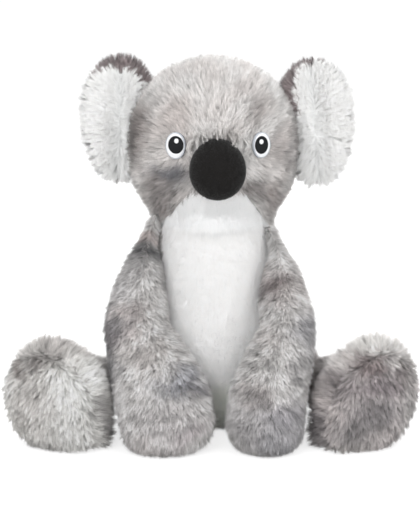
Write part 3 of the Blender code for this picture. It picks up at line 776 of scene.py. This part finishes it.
def under_face(points):
    """Whether a hair would grow under the nose or an eye."""
    held = np.linalg.norm((points - nose_spot) / NOSE_BARE, axis=1) < 1
    for spot, _ in eye_spots.values():
        held |= np.linalg.norm((points - spot) / EYE_BARE, axis=1) < 1
    return held | below_neck(points)


def face_half(side):
    """A test for one half of the face's grey pile."""

    def test(points):
        x, y, _ = points.T
        return ~on_chin(points) & (y < 0) & ((x < FACE_PARTING) == (side < 0))

    return test


PALE_PILE = pile_finish(
    "pale grey pile", "pale_grey_plush", 0.66, 0.15, dye(252, 251, 250), 0.2, 240.0
)
PALE_GROUND = grain_finish(
    "pale grey ground cloth", "pale_grey_plush", dye(200, 196, 194), dye(224, 220, 218)
)
head_round, chin = head_skin.part(apart_from(on_chin)), head_skin.part(on_chin)
cloth_object("head_cover_cloth", head_round, PALE_GROUND, "head", "head_cover")
cloth_object("chin_panel_cloth", chin, WHITE_GROUND, "head", "chin_panel")
cloth_object(
    "head_filling_fibre", head_outside.inset(FILLING_ROOM), FILLING, "head", "head_filling"
)


def face_speck(points):
    """The share of dark tufts: many on the cheeks and few above them."""
    return 0.03 + 0.27 * np.clip((NECK_HEIGHT + 0.052 - points[:, 2]) / 0.02, 0, 1)


def head_crowding(points):
    """Where the head has its hairs: everywhere above the neck seam."""
    return np.where(below_neck(points), 0.0, 1.0)


for seed, (hand, side) in enumerate(SIDES.items(), 201):
    pile(
        f"head_cover_pile_face_{hand}", head_skin.part(face_half(side)), 62000, seed, head_length,
        head_comb, head_colour, PALE_PILE, "head", lean=50, gather=0.5, crowding=head_crowding,
        bare=under_face, thick=0.00015, unruly=0.28, fleck=0.10, speck=face_speck,
    )
pile(
    "head_cover_pile_back", head_skin.part(lambda p: ~on_chin(p) & (p[:, 1] >= 0)), 56000, 203,
    head_length, head_comb, head_colour, PALE_PILE, "head", crowding=head_crowding, bare=below_neck,
    thick=0.00019, fleck=0.08, speck=0.06,
)
pile(
    "chin_panel_pile", chin, 24000, 204, even(0.0070), downwards(3), plain(dye(252, 253, 253)),
    WHITE_PILE, "head", lean=60, gather=0.15, tuft=20, thick=0.00018, bare=under_face,
    unruly=0.15, fleck=0.012, roundness=0.2,
)

# The nose
# An upright egg of thin black fleece over a knob of filling, stitched to the face through its back.
# The fleece has a fine short nap, a little dusty where it catches the light.

NOSE_HALF = (0.0242, 0.0245, 0.0263)
NOSE_STAND_OFF = 0.18
NOSE_LOW_SWELL = 0.05
NAP_ROOM = 0.0006
NOSE_FILLING_ROOM = 0.003


def nose_place(ball):
    """The nose's rounded form, a little wider below than above."""
    side = np.cross([0, 0, 1], nose_normal)
    centre = nose_spot + nose_normal * NOSE_HALF[1] * NOSE_STAND_OFF
    across = NOSE_HALF[0] * ball[:, 0] * (1 - NOSE_LOW_SWELL * ball[:, 2])
    deep = NOSE_HALF[1] * ball[:, 1]
    up = NOSE_HALF[2] * ball[:, 2]
    return centre - np.outer(across, side) - np.outer(deep, nose_normal) + np.outer(up, [0, 0, 1])


nose_outside = sewn(nose_place, 60, 90)
nose_skin = nose_outside.inset(NAP_ROOM)
BLACK_FLEECE = grain_finish(
    "black fleece", "black_fleece", dye(8, 7, 7), dye(26, 24, 23), scale=900.0, height=0.0005
)
BLACK_NAP = pile_finish(
    "black fleece nap", "black_fleece", 0.7, 0.12, dye(60, 57, 56), 0.3, 500.0
)


def nose_comb(points):
    """Nap that lies every way, as on fleece."""
    return np.column_stack([drift(points, 0.004, 51 + k) for k in range(3)])


cloth_object("nose_cover_fleece", nose_skin, BLACK_FLEECE, "head", "nose_cover")
cloth_object(
    "nose_filling_fibre", nose_outside.inset(NOSE_FILLING_ROOM), FILLING, "head", "nose_filling",
)
pile(
    "nose_cover_nap", nose_skin, 30000, 301, even(0.0012), nose_comb, plain(dye(14, 12, 12)),
    BLACK_NAP, "head", lean=35, gather=0.1, thick=0.0001, unruly=1.0, fleck=0.35,
)


def off_nose_top(points):
    """Whether points lie away from the line where the face's pile meets the nose's upper edge."""
    away = points - nose_spot
    rim = np.linalg.norm(away / [NOSE_HALF[0], 0.04, NOSE_HALF[2]], axis=1)
    return (rim < 1.15) | (rim > 1.36) | (away[:, 2] < 0.75 * NOSE_HALF[2])


def nose_ward(points):
    """Pile that lies towards the nose."""
    return nose_spot - points


pile(
    "head_cover_pile_over_nose", head_skin.part(apart_from(off_nose_top)), 3000, 302, even(0.0200),
    nose_ward, head_colour, PALE_PILE, "head", lean=23, gather=0.75, tuft=60, thick=0.00016,
    bare=off_nose_top, unruly=0.6,
)

# The eyes
# Embroidered straight onto the cloth in satin stitch: a white oval with a thin grey-blue edge, a
# near-black pupil let into it, and a small round white glint in the upper part of the pupil.

EYE_HALF = {"right": (0.0082, 0.0106), "left": (0.0077, 0.0102)}
PUPIL_HALF = {"right": (0.0070, 0.0076), "left": (0.0064, 0.0077)}
PUPIL_SHIFT = {"right": (0.0010, 0.0009), "left": (-0.0011, 0.0003)}
GLINT_HALF = (0.0020, 0.0021)
GLINT_SHIFT = {"right": (0.0021, 0.0044), "left": (-0.0020, 0.0032)}


def thread_finish(name, slot, dark, light, roughness, sheen):
    """Stitched thread, with its strands in two close tones."""
    return grain_finish(name, slot, dark, light, roughness, sheen, 1400.0, 0.0001)


WHITE_THREAD = thread_finish(
    "white thread", "white_thread", dye(192, 193, 195), dye(219, 220, 222), 0.6, 0.1
)
EDGE_THREAD = thread_finish(
    "grey-blue thread", "white_thread", dye(148, 152, 159), dye(178, 182, 189), 0.6, 0.1
)
BLACK_THREAD = thread_finish(
    "black thread", "black_thread", dye(4, 5, 7), dye(18, 20, 23), 0.8, 0.0
)
HEAD_ROUND = 0.075
THREAD_PITCH = 0.00028
THREAD_RIDGE = 0.00006
EDGE_WIDTH = 0.0008
EDGE_RISE = (0.0008, 0.0014)
WHITE_RISE = (0.0011, 0.0021)
PUPIL_RISE = (0.0018, 0.0029)
GLINT_RISE = (0.0027, 0.0034)
CENTRE = (0, 0)


def stitched_oval(hand, half, shift, rise, ridges=None):
    """An oval of satin stitch on the face: low at its rim, high in its middle.

    Its threads run outwards, in that many ridges, or straight across it.
    """
    spot, normal = eye_spots[hand]
    side = np.cross([0, 0, 1], normal)
    low, high = rise

    def place(ball):
        a = half[0] * ball[:, 0]
        b = half[1] * ball[:, 2]
        outer = np.sqrt(np.clip(ball[:, 0] ** 2 + ball[:, 2] ** 2, 0, 1))
        turn = np.arctan2(ball[:, 2], ball[:, 0])
        thread = np.sin(turn * ridges) if ridges else np.sin(b / THREAD_PITCH)
        top = low + (high - low) * np.sqrt(np.clip(1 - outer**2, 0, 1))
        top = top + THREAD_RIDGE * thread * outer
        front = ball[:, 1] < 0
        out = np.where(front, top, -0.003 + 0.001 * outer)
        a, b = a + shift[0], b + shift[1]
        out = out - (a**2 + b**2) / (2 * HEAD_ROUND)
        return spot + np.outer(a, side) + np.outer(out, normal) + np.outer(b, [0, 0, 1])

    return sewn(place, 60, 120, upright=False)


for hand in SIDES:
    half = EYE_HALF[hand]
    rim = (half[0] + EDGE_WIDTH, half[1] + EDGE_WIDTH)
    cloth_object(
        f"eye_edge_{hand}", stitched_oval(hand, rim, CENTRE, EDGE_RISE, 60), EDGE_THREAD, "head"
    )
    for part, look, oval in (
        ("white", WHITE_THREAD, (half, CENTRE, WHITE_RISE, 84)),
        ("pupil", BLACK_THREAD, (PUPIL_HALF[hand], PUPIL_SHIFT[hand], PUPIL_RISE)),
        ("glint", WHITE_THREAD, (GLINT_HALF, GLINT_SHIFT[hand], GLINT_RISE, 24)),
    ):
        oval = stitched_oval(hand, *oval)
        cloth_object(f"eye_{part}_stitch_{hand}", oval, look, "head", f"eye_{part}_{hand}")

# The ears
# Each is a flat pillow with wadding in it, sewn to the side of the head along its root. The front
# is long white pile, brushed both ways from a crease. The brown-grey back wraps over the top rim.

EAR_HALF = (0.031, 0.0115, 0.054)
EAR_OUT = {"right": 0.0095, "left": 0.016}
EAR_HEIGHT = {"right": 0.089, "left": 0.0845}
EAR_BACK_TURN = math.radians(5)
EAR_LEAN = {"right": math.radians(2), "left": math.radians(5)}
EAR_TOP_SWELL = 0.12
CREASE_DEPTH = 0.004
CREASE_REACH = 0.007
EAR_ROOM = 0.004
WADDING_ROOM = EAR_ROOM + 0.0015
WRAPS = {"right": (0.34, 0.26), "left": (0.15, 0.78)}


def ear_frame(hand):
    """The ear's middle and its outward, back and up directions."""
    root, _ = on_head(EAR_HEIGHT[hand], SIDES[hand] * (math.pi / 2 + EAR_BACK_TURN))
    lean = -EAR_LEAN[hand] * SIDES[hand]
    across = np.array([math.cos(lean), 0, -math.sin(lean)])
    up = np.array([math.sin(lean), 0, math.cos(lean)])
    out = across * SIDES[hand]
    return root + out * EAR_OUT[hand], out, np.array([0, 1, 0]), up


def ear_place(hand):
    """The pillow of an ear, a little wider at the top."""
    middle, out, back, up = ear_frame(hand)

    def place(ball):
        half = EAR_HALF[0] * (1 + EAR_TOP_SWELL * ball[:, 2])
        full = np.sqrt(1 - ball[:, 1] ** 2 / 2)
        a = half * ball[:, 0] / full
        c = EAR_HALF[2] * ball[:, 2] / full
        crease = CREASE_DEPTH * np.exp(-((a / CREASE_REACH) ** 2)) * np.clip(-ball[:, 1], 0, 1)
        b = EAR_HALF[1] * ball[:, 1] + crease
        return middle + np.outer(a, out) + np.outer(b, back) + np.outer(c, up)

    return place


def ear_local(hand, points):
    """Points in the ear's own outward, back and up measures, as shares of its half sizes."""
    middle, out, back, up = ear_frame(hand)
    away = points - middle
    c = away @ up / EAR_HALF[2]
    return away @ out / (EAR_HALF[0] * (1 + EAR_TOP_SWELL * c)), away @ back / EAR_HALF[1], c


def on_ear_front(hand):
    """A test for the white panel, which stops short of the rim at the top."""

    def test(points):
        a, b, c = ear_local(hand, points)
        over, inner = WRAPS[hand]
        turn = np.arctan2(c, a)
        wrap = over * np.exp(-(((turn - 1.6) / 1.25) ** 2))
        wrap = wrap + inner * np.exp(-(((turn - 2.7) / 0.6) ** 2))
        return (b < 0) & (a**2 + c**2 < (1 - 0.75 * wrap) ** 2)

    return test


EAR_WHITE = pile_finish(
    "white ear pile", "white_plush", 0.84, 0.3, dye(254, 254, 254), 0.06, 150.0
)
EAR_BROWN = pile_finish(
    "brown-grey ear pile", "brown_grey_plush", 0.6, 0.45, dye(204, 197, 194), 0.3, 260.0
)
BROWN_GROUND = grain_finish(
    "brown-grey ground cloth", "brown_grey_plush", dye(84, 74, 76), dye(112, 100, 102)
)


def inside(form, floor, points):
    """Whether points lie inside the ground cloth of an upright form that starts at a floor."""
    x, y, z = points.T
    width, depth = (
        np.interp(z - floor, form.stations[:, 0], form.stations[:, k]) - GROUND_ROOM for k in (1, 2)
    )
    return (x / np.maximum(width, 0.001)) ** 2 + (y / np.maximum(depth, 0.001)) ** 2 < 1


def in_head(points):
    """Whether points lie inside the head's ground cloth."""
    return inside(head_form, NECK_HEIGHT, points)


def make_ear(hand, seed):
    """One ear: white front, brown-grey back and wadding."""
    body = "ear_" + hand
    outside = sewn(ear_place(hand), 70, 110, upright=False)
    skin = outside.inset(EAR_ROOM)
    on_front = on_ear_front(hand)
    front, back = skin.part(on_front), skin.part(apart_from(on_front))
    _, out, behind, up = ear_frame(hand)

    def comb(points):
        a, _, c = ear_local(hand, points)
        way = np.outer(np.sign(a) * (0.35 + np.abs(a)), out) + np.outer(0.9 * c + 0.1, up)
        return way - 0.25 * behind

    def back_comb(points):
        a, b, c = ear_local(hand, points)
        return np.outer(a, out) + np.outer(c + 0.2, up) - np.outer(np.where(b > 0, 0, 0.3), behind)

    def front_length(points):
        a, _, c = ear_local(hand, points)
        return 0.0105 + 0.0035 * np.clip(a**2 + c**2, 0, 1)

    def front_colour(points):
        a, _, c = ear_local(hand, points)
        edge = np.clip((np.sqrt(a**2 + c**2) - 0.8) / 0.2, 0, 1)
        edge = edge * (0.5 + 0.5 * drift(points, 0.005, seed))
        tint = (0.85 * edge * (a > 0.3))[:, None]
        colour = dye(250, 250, 248) * (1 - tint) + dye(140, 146, 157) * tint
        # Painted shade: the white pile is dyed greyer along the crease down the middle of the ear.
        crease = (0.22 * np.exp(-((a / 0.12) ** 2)))[:, None]
        return colour * (1 - crease) + dye(190, 194, 198) * crease

    def back_colour(points):
        return dye(134, 122, 123) * (1 + 0.25 * drift(points, 0.010, seed + 5))[:, None]

    cloth_object(f"ear_front_cloth_{hand}", front, WHITE_GROUND, body, "ear_front_" + hand)
    cloth_object(f"ear_back_cloth_{hand}", back, BROWN_GROUND, body, "ear_back_" + hand)
    cloth_object(
        f"ear_wadding_fibre_{hand}", outside.inset(WADDING_ROOM), FILLING, body,
        "ear_wadding_" + hand,
    )
    pile(
        f"ear_front_pile_{hand}", front, 62000, seed, front_length, comb, front_colour, EAR_WHITE,
        body, lean=54, gather=0.55, tuft=34, thick=0.00016, bare=in_head, fleck=0.05, speck=0.004,
        roundness=0.35,
    )
    pile(
        f"ear_back_pile_{hand}", back, 42000, seed + 1, even(0.0100), back_comb, back_colour,
        EAR_BROWN, body, lean=38, gather=0.55, bare=in_head, thick=0.00016, fleck=0.18, speck=0.1,
    )


make_ear("right", 401)
make_ear("left", 411)

# The arms
# Two long soft tubes of mottled grey pile cloth, sewn to the torso at round shoulder seams. They
# hang forward and down, swell into paws, and rest on the table between the feet.

ARM_LINES = {
    "right": (
        (0.0500, 0.020, 0.186), (0.0545, 0.027, 0.172), (0.0580, 0.034, 0.157),
        (0.0605, 0.044, 0.142), (0.0640, 0.058, 0.118), (0.0635, 0.076, 0.092),
        (0.0460, 0.100, 0.052), (0.0380, 0.113, 0.024),
    ),
    "left": (
        (0.0480, 0.022, 0.175), (0.0555, 0.033, 0.158), (0.0585, 0.042, 0.142),
        (0.0615, 0.058, 0.118), (0.0625, 0.076, 0.092), (0.0488, 0.100, 0.052),
        (0.0440, 0.113, 0.024),
    ),
}
ARM_HALVES = {
    "right": (
        (0.0060, 0.011), (0.0075, 0.015), (0.0120, 0.018), (0.0190, 0.021), (0.0260, 0.0240),
        (0.0300, 0.027), (0.0400, 0.031), (0.0405, 0.033),
    ),
    "left": (
        (0.0050, 0.010), (0.0080, 0.017), (0.0155, 0.020), (0.0220, 0.0230), (0.0255, 0.026),
        (0.0325, 0.031), (0.0332, 0.033),
    ),
}
ARM_TOP = 0.006
ARM_PARTING = 0.062


def in_front(hand, place):
    """A place of (spread, reach, height) on one side, as a point."""
    return np.array([SIDES[hand] * place[0], -place[1], place[2]])


def arm_form(hand):
    """An arm: a narrow top at the shoulder, a soft elbow and a paw."""
    spine = [in_front(hand, place) for place in ARM_LINES[hand]]
    lengths = run_lengths(smooth_run(spine, 24))[::24]
    halves = ARM_HALVES[hand]
    stations = quarter(-ARM_TOP, 0, *halves[0])
    stations += [(length, *half) for length, half in zip(lengths, halves)]
    stations += quarter(lengths[-1] + halves[-1][1], lengths[-1], *halves[-1])[::-1]
    return StuffedForm(stations, spine)


def in_torso(points):
    """Whether points lie inside the torso's ground cloth."""
    return inside(torso_form, 0, points)


ARM_PATCHES = {
    "right": [
        ((-58, -30, 174), (16, 40, 7), (176, 160, 157), 0.8),
        ((-56, -50, 159), (24, 40, 11), (96, 96, 98), 0.92),
        ((-37, -70, 130), (9, 30, 24), (74, 73, 76), 0.92),
        ((-75, -70, 135), (14, 40, 22), (170, 168, 170), 0.6),
        ((-70, -100, 110), (14, 40, 12), (178, 166, 164), 0.6),
        ((-89, -80, 84), (13, 50, 36), (84, 84, 92), 0.95),
        ((-82, -100, 98), (12, 40, 9), (120, 114, 116), 0.7),
        ((-60, -110, 85), (18, 40, 13), (205, 199, 196), 0.7),
        ((-30, -120, 62), (22, 40, 10), (150, 152, 160), 0.8),
        ((-14, -130, 54), (16, 40, 8), (84, 82, 88), 0.85),
        ((-45, -140, 40), (30, 40, 12), (176, 173, 173), 0.6),
        ((-20, -140, 26), (18, 40, 10), (156, 140, 146), 0.7),
        ((-55, -140, 12), (30, 40, 12), (186, 178, 176), 0.6),
        ((-40, -140, 30), (40, 50, 24), (206, 202, 202), 0.6),
    ],
    "left": [
        ((52, -65, 136), (16, 40, 13), (158, 146, 145), 0.9),
        ((40, -78, 124), (9, 40, 12), (94, 86, 86), 0.85),
        ((70, -60, 135), (12, 40, 16), (212, 206, 204), 0.6),
        ((46, -95, 100), (14, 40, 12), (216, 209, 206), 0.6),
        ((75, -80, 100), (12, 50, 20), (160, 160, 166), 0.7),
        ((40, -110, 75), (18, 40, 12), (188, 186, 184), 0.6),
        ((72, -100, 70), (10, 40, 14), (128, 126, 128), 0.7),
        ((34, -130, 52), (14, 40, 10), (150, 142, 140), 0.7),
        ((60, -135, 40), (18, 40, 13), (172, 168, 176), 0.7),
        ((30, -140, 24), (14, 40, 14), (186, 182, 180), 0.6),
        ((60, -140, 14), (20, 40, 14), (142, 144, 150), 0.75),
        ((74, -120, 26), (8, 40, 20), (112, 110, 114), 0.7),
        ((48, -140, 28), (36, 50, 24), (168, 166, 170), 0.6),
    ],
}


def make_arm(hand, seed):
    """One arm: its cover, its pile in an upper and a lower piece, and its filling."""
    body = "arm_" + hand
    form = arm_form(hand)
    outside = sewn(lambda ball: settle(form.place(ball)), 100, 96)
    skin = outside.inset(PILE_ROOM)
    middle = np.array([SIDES[hand] * 0.05, -0.10, 0.06])

    def comb(points):
        return (points - middle) * [5, 2, 0] + [SIDES[hand] * 0.05, -0.45, -1.0]

    def colour(points):
        colour = patched(points, dye(240, 237, 235), ARM_PATCHES[hand], seed)
        colour = colour * (1 + 0.24 * drift(points, 0.006, seed + 3))[:, None]
        return colour * (1 + 0.10 * drift(points, 0.028, seed + 4))[:, None]

    def size(points):
        return np.full(len(points), 0.0092) + 0.001 * drift(points, 0.02, seed + 9)

    cloth_object(f"arm_cover_cloth_{hand}", skin, GREY_GROUND, body, "arm_cover_" + hand)
    cloth_object(
        f"arm_filling_fibre_{hand}", outside.inset(FILLING_ROOM), FILLING, body,
        "arm_filling_" + hand,
    )
    for part, where in (
        ("upper", lambda p: p[:, 2] > ARM_PARTING), ("lower", lambda p: p[:, 2] <= ARM_PARTING)
    ):
        seed += 1
        pile(
            f"arm_cover_pile_{part}_{hand}", skin.part(where), 62000, seed, size, comb, colour,
            GREY_PILE, body, lean=54, gather=0.42, tuft=9, crowding=low_seat, bare=in_torso,
            thick=0.00016, unruly=0.36, fleck=0.16, speck=0.14,
        )


make_arm("right", 501)
make_arm("left", 521)

# The legs
# Two short thick tubes from round hip seams, which turn out and swell into big round feet. Each
# foot ends in a sole panel whose upper seam is gathered, and its pile is brushed down from there.

HIP = (0.080, 0.0175, 0.041)
HIP_TURN = math.radians(127)
HIP_RADIUS = 0.0225
ANKLE = (0.117, 0.064, 0.041)
ANKLE_RADIUS = 0.036
FOOT = {"right": (0.139, 0.104, 0.041), "left": (0.1355, 0.104, 0.041)}
FOOT_HALF = {"right": (0.0484, 0.051), "left": (0.0460, 0.053)}
FOOT_SPLAY = {"right": 0.006, "left": 0.011}
SOLE_SHARE = 0.88
SOLE_SET_BACK = 0.022
SOLE_DOME = 0.010
FOOT_FULLNESS = 3.4
GATHERS = 13
GATHER_DEPTH = (0.0015, 0.0025)
GROOVE_REACH = 0.003
SPLAY_START = 0.070
SPLAY_RUN = 0.030


def seam_ball(radius):
    """Stations of the ball that a leg turns on, up to the waist where its seam draws it in."""
    turns = np.linspace(0, HIP_TURN, 13)
    return [(-radius * math.cos(t), radius * math.sin(t), radius * math.sin(t)) for t in turns]


def leg_form(hand):
    """A leg: a ball at the hip, and a shin that swells into a round foot with a domed sole."""
    spine = [in_front(hand, p) for p in (HIP, ANKLE, FOOT[hand])]
    lengths = run_lengths(smooth_run(spine, 24))
    foot = lengths[-1]
    half = FOOT_HALF[hand]
    sole = (SOLE_SHARE * half[0], SOLE_SHARE * half[1])
    stations = seam_ball(HIP_RADIUS)
    stations.append((lengths[24], ANKLE_RADIUS, ANKLE_RADIUS))
    stations.append((foot - SOLE_SET_BACK, *half))
    stations += quarter(foot + SOLE_DOME * 2, foot, *sole)[::-1]
    return StuffedForm(stations, spine, (SIDES[hand], 0, 0)), foot


LEG_PATCHES = {
    "right": [
        ((-150, -110, 84), (22, 20, 9), (104, 98, 96), 0.85),
        ((-112, -112, 80), (10, 20, 6), (86, 74, 70), 0.85),
        ((-166, -105, 70), (9, 20, 6), (110, 98, 94), 0.8),
        ((-142, -95, 94), (10, 30, 6), (140, 132, 132), 0.8),
        ((-112, -120, 58), (26, 30, 24), (248, 248, 244), 0.9),
        ((-120, -120, 30), (22, 30, 20), (224, 224, 221), 0.6),
        ((-150, -120, 45), (20, 30, 26), (200, 195, 192), 0.6),
        ((-165, -110, 30), (12, 30, 24), (176, 172, 168), 0.6),
        ((-95, -115, 30), (8, 30, 26), (136, 132, 132), 0.75),
        ((-92, -110, 12), (8, 30, 10), (92, 88, 88), 0.8),
        ((-135, -115, 8), (32, 30, 7), (160, 158, 156), 0.6),
        ((-125, -70, 80), (40, 30, 30), (184, 176, 174), 0.7),
    ],
    "left": [
        ((130, -90, 94), (44, 24, 14), (246, 244, 240), 0.95),
        ((105, -76, 82), (32, 30, 22), (240, 237, 233), 0.9),
        ((162, -82, 80), (22, 30, 20), (240, 238, 234), 0.85),
        ((127, -112, 80), (16, 20, 5), (120, 102, 102), 0.8),
        ((160, -105, 68), (12, 20, 6), (98, 88, 86), 0.85),
        ((140, -120, 66), (26, 30, 12), (146, 136, 140), 0.8),
        ((105, -120, 60), (12, 30, 10), (118, 110, 112), 0.7),
        ((98, -118, 46), (10, 30, 12), (200, 192, 190), 0.75),
        ((135, -122, 40), (20, 30, 14), (134, 130, 132), 0.8),
        ((120, -122, 28), (18, 30, 10), (122, 120, 121), 0.7),
        ((162, -108, 35), (10, 30, 28), (186, 184, 182), 0.7),
        ((110, -118, 10), (20, 30, 10), (166, 165, 160), 0.6),
        ((88, -110, 20), (7, 30, 22), (92, 88, 90), 0.8),
    ],
}
LEG_BASE = {"right": dye(236, 234, 230), "left": dye(198, 191, 190)}
SOLE_SPECK = {"right": 0.08, "left": 0.22}


def make_leg(hand, seed):
    """One leg: its cover and sole, with their pile, and its filling."""
    body = "leg_" + hand
    form, foot = leg_form(hand)
    point, side, _, way = (v[0] for v in form.frame(foot - 0.002))

    def past_seam(points):
        return (points - point) @ way

    def gathered(points):
        turn = np.arctan2(points[:, 2] - point[2], (points - point) @ side)
        return np.sin(turn * GATHERS + seed)

    def place(ball):
        points = form.place(ball)
        rise = np.clip((points[:, 2] - point[2]) / FOOT_HALF[hand][1], -0.96, 1)
        low = np.clip(-rise, 0, None)
        across = (points - point) @ side
        inner = 0.5 - 0.5 * np.tanh(across / 0.012)
        round_ = (1 - low**FOOT_FULLNESS) ** (1 / FOOT_FULLNESS)
        fuller = (round_ / np.sqrt(1 - low**2) - 1) * inner
        wide = (across * fuller + FOOT_SPLAY[hand] * rise) * np.clip(
            (past_seam(points) + SPLAY_START) / SPLAY_RUN, 0, 1
        )
        return settle(points + np.outer(wide, side))

    outside = sewn(place, 100, 96)
    groove = np.exp(-((past_seam(outside.points) / GROOVE_REACH) ** 2))
    high = np.clip((outside.points[:, 2] - 0.03) / 0.05, 0, 1)
    pucker = 0.5 + 0.5 * gathered(outside.points)
    depth = groove * high * (GATHER_DEPTH[0] + GATHER_DEPTH[1] * pucker)
    drawn = outside.inset(depth[:, None])
    skin = drawn.inset(PILE_ROOM)

    def on_sole(points):
        return past_seam(points) > 0

    def sole_comb(points):
        return (points - point) * [6, 0, 0] + [0, 0, -1.0]

    def shin_comb(points):
        return (points - point) * [8, 0, 5] - 0.8 * way

    # Painted shade: where the pile lies in the puckers of the gathered seam at the top of the sole.
    def dimple_shade(points):
        high = np.clip((points[:, 2] - 0.045) / 0.02, 0, 1)
        deep = np.clip(gathered(points), 0, 1) ** 2
        return np.exp(-((past_seam(points) / 0.004) ** 2)) * high * deep

    def colour(points):
        colour = patched(points, LEG_BASE[hand], LEG_PATCHES[hand], seed)
        # Painted shade: the pile is dyed dark brown-grey in the seam's puckers.
        held = (0.85 * dimple_shade(points))[:, None]
        colour = colour * (1 - held) + dye(72, 58, 56) * held
        colour = colour * (1 + 0.13 * drift(points, 0.009, seed + 3))[:, None]
        return colour * (1 + 0.08 * drift(points, 0.026, seed + 4))[:, None]

    def size(points):
        high = np.clip((points[:, 2] - 0.03) / 0.04, 0, 1)
        return 0.0115 * (1 - 0.4 * high * np.exp(-((past_seam(points) / 0.005) ** 2)))

    shin, sole = skin.part(apart_from(on_sole)), skin.part(on_sole)
    cloth_object(f"leg_cover_cloth_{hand}", shin, GREY_GROUND, body, "leg_cover_" + hand)
    cloth_object(f"sole_panel_cloth_{hand}", sole, GREY_GROUND, body, "sole_panel_" + hand)
    cloth_object(
        f"leg_filling_fibre_{hand}", drawn.inset(FILLING_ROOM), FILLING, body,
        "leg_filling_" + hand,
    )
    pile(
        f"leg_cover_pile_{hand}", shin, 60000, seed, size, shin_comb, colour, GREY_PILE, body,
        lean=60, gather=0.35, crowding=low_seat, bare=in_torso, unruly=0.35, fleck=0.12, speck=0.08,
    )
    pile(
        f"sole_panel_pile_{hand}", sole, 60000, seed + 1, size, sole_comb, colour, GREY_PILE, body,
        lean=58, gather=0.6, tuft=26, crowding=low_seat, thick=0.00016, unruly=0.34, fleck=0.19,
        speck=SOLE_SPECK[hand],
    )


make_leg("right", 601)
make_leg("left", 621)

# The table top, the lights and the camera
# A plain white sweep under soft studio light. The camera looks down on the toy by ten degrees, from
# straight in front.

CAMERA_AIM = (-0.0027, 0.0, 0.1491)
CAMERA_AWAY = 1.7
CAMERA_DOWN = math.radians(10)
VIEW_HEIGHT = 0.452
VIEW_WIDTH = VIEW_HEIGHT * 420 / 508
WHITE = (1, 1, 1, 1)
TABLE_SHOWN = (0.34, 0.34, 0.34, 1)
TABLE_BOUNCE = (0.86, 0.86, 0.86, 1)
TABLE_GLOW = 0.76
STUDIO_LIGHT = 0.85
BOX_SIZE = 1.2
SOFT_BOXES = (
    ("key_light", (-0.6, -1.7, 1.1), 0.13, 25.0),
    ("fill_light", (1.1, -1.5, 0.6), 0.13, 12.0),
    ("top_light", (0.1, 0.3, 1.9), 0.15, 5.0),
    ("back_light", (0.5, 1.8, 1.0), 0.13, 24.0),
)


def white_for_camera(tree, shown, lit):
    """One shader where the camera, glass or gloss looks, and another for all other light."""
    rays = added(tree, "LightPath", {}).outputs
    seen = counted(tree, "MAXIMUM", rays["Is Camera Ray"], rays["Is Glossy Ray"])
    seen = counted(tree, "MAXIMUM", seen, rays["Is Transmission Ray"])
    return added(tree, "MixShader", {0: seen, 1: lit, 2: shown}).outputs[0]


table_mesh = bpy.data.meshes.new("table_top")
table_mesh.from_pydata([(-40, -8, 0), (40, -8, 0), (40, 60, 0), (-40, 60, 0)], [], [(0, 1, 2, 3)])
table_top = bpy.data.objects.new("table_top", table_mesh)
bpy.context.scene.collection.objects.link(table_top)
table_finish = bpy.data.materials.new("white table")
table_finish.use_nodes = True
tree = table_finish.node_tree
tree.nodes.remove(tree.nodes["Principled BSDF"])
matte = added(tree, "BsdfDiffuse", {"Color": TABLE_SHOWN})
bounce = added(tree, "BsdfDiffuse", {"Color": TABLE_BOUNCE})
glow = added(tree, "Emission", {"Color": WHITE, "Strength": TABLE_GLOW})
both = added(tree, "AddShader", {0: matte.outputs[0], 1: glow.outputs[0]})
surface = white_for_camera(tree, both.outputs[0], bounce.outputs[0])
tree.links.new(surface, tree.nodes["Material Output"].inputs["Surface"])
table_mesh.materials.append(table_finish)

world = bpy.data.worlds.new("studio")
bpy.context.scene.world = world
world.use_nodes = True
tree = world.node_tree
soft = tree.nodes["Background"]
soft.inputs["Color"].default_value = WHITE
soft.inputs["Strength"].default_value = STUDIO_LIGHT
clear = added(tree, "Background", {"Color": WHITE})
surface = white_for_camera(tree, clear.outputs[0], soft.outputs[0])
tree.links.new(surface, tree.nodes["World Output"].inputs["Surface"])

for name, place, height, power in SOFT_BOXES:
    lamp = bpy.data.lights.new(name, "AREA")
    lamp.size = BOX_SIZE
    lamp.energy = power
    lamp_object = bpy.data.objects.new(name, lamp)
    lamp_object.location = place
    way = Vector((0, 0, height)) - Vector(place)
    lamp_object.rotation_euler = way.to_track_quat("-Z", "Y").to_euler()
    bpy.context.scene.collection.objects.link(lamp_object)

camera = bpy.data.cameras.new("camera")
camera.sensor_width = 36
camera.sensor_fit = "HORIZONTAL"
camera.lens = camera.sensor_width * CAMERA_AWAY / VIEW_WIDTH
camera_object = bpy.data.objects.new("camera", camera)
aim = Vector(CAMERA_AIM)
away = Vector((0, -math.cos(CAMERA_DOWN), math.sin(CAMERA_DOWN))) * CAMERA_AWAY
camera_object.location = aim + away
camera_object.rotation_euler = (-away).to_track_quat("-Z", "Y").to_euler()
bpy.context.scene.collection.objects.link(camera_object)
bpy.context.scene.camera = camera_object
bpy.context.scene.view_settings.view_transform = "Standard"
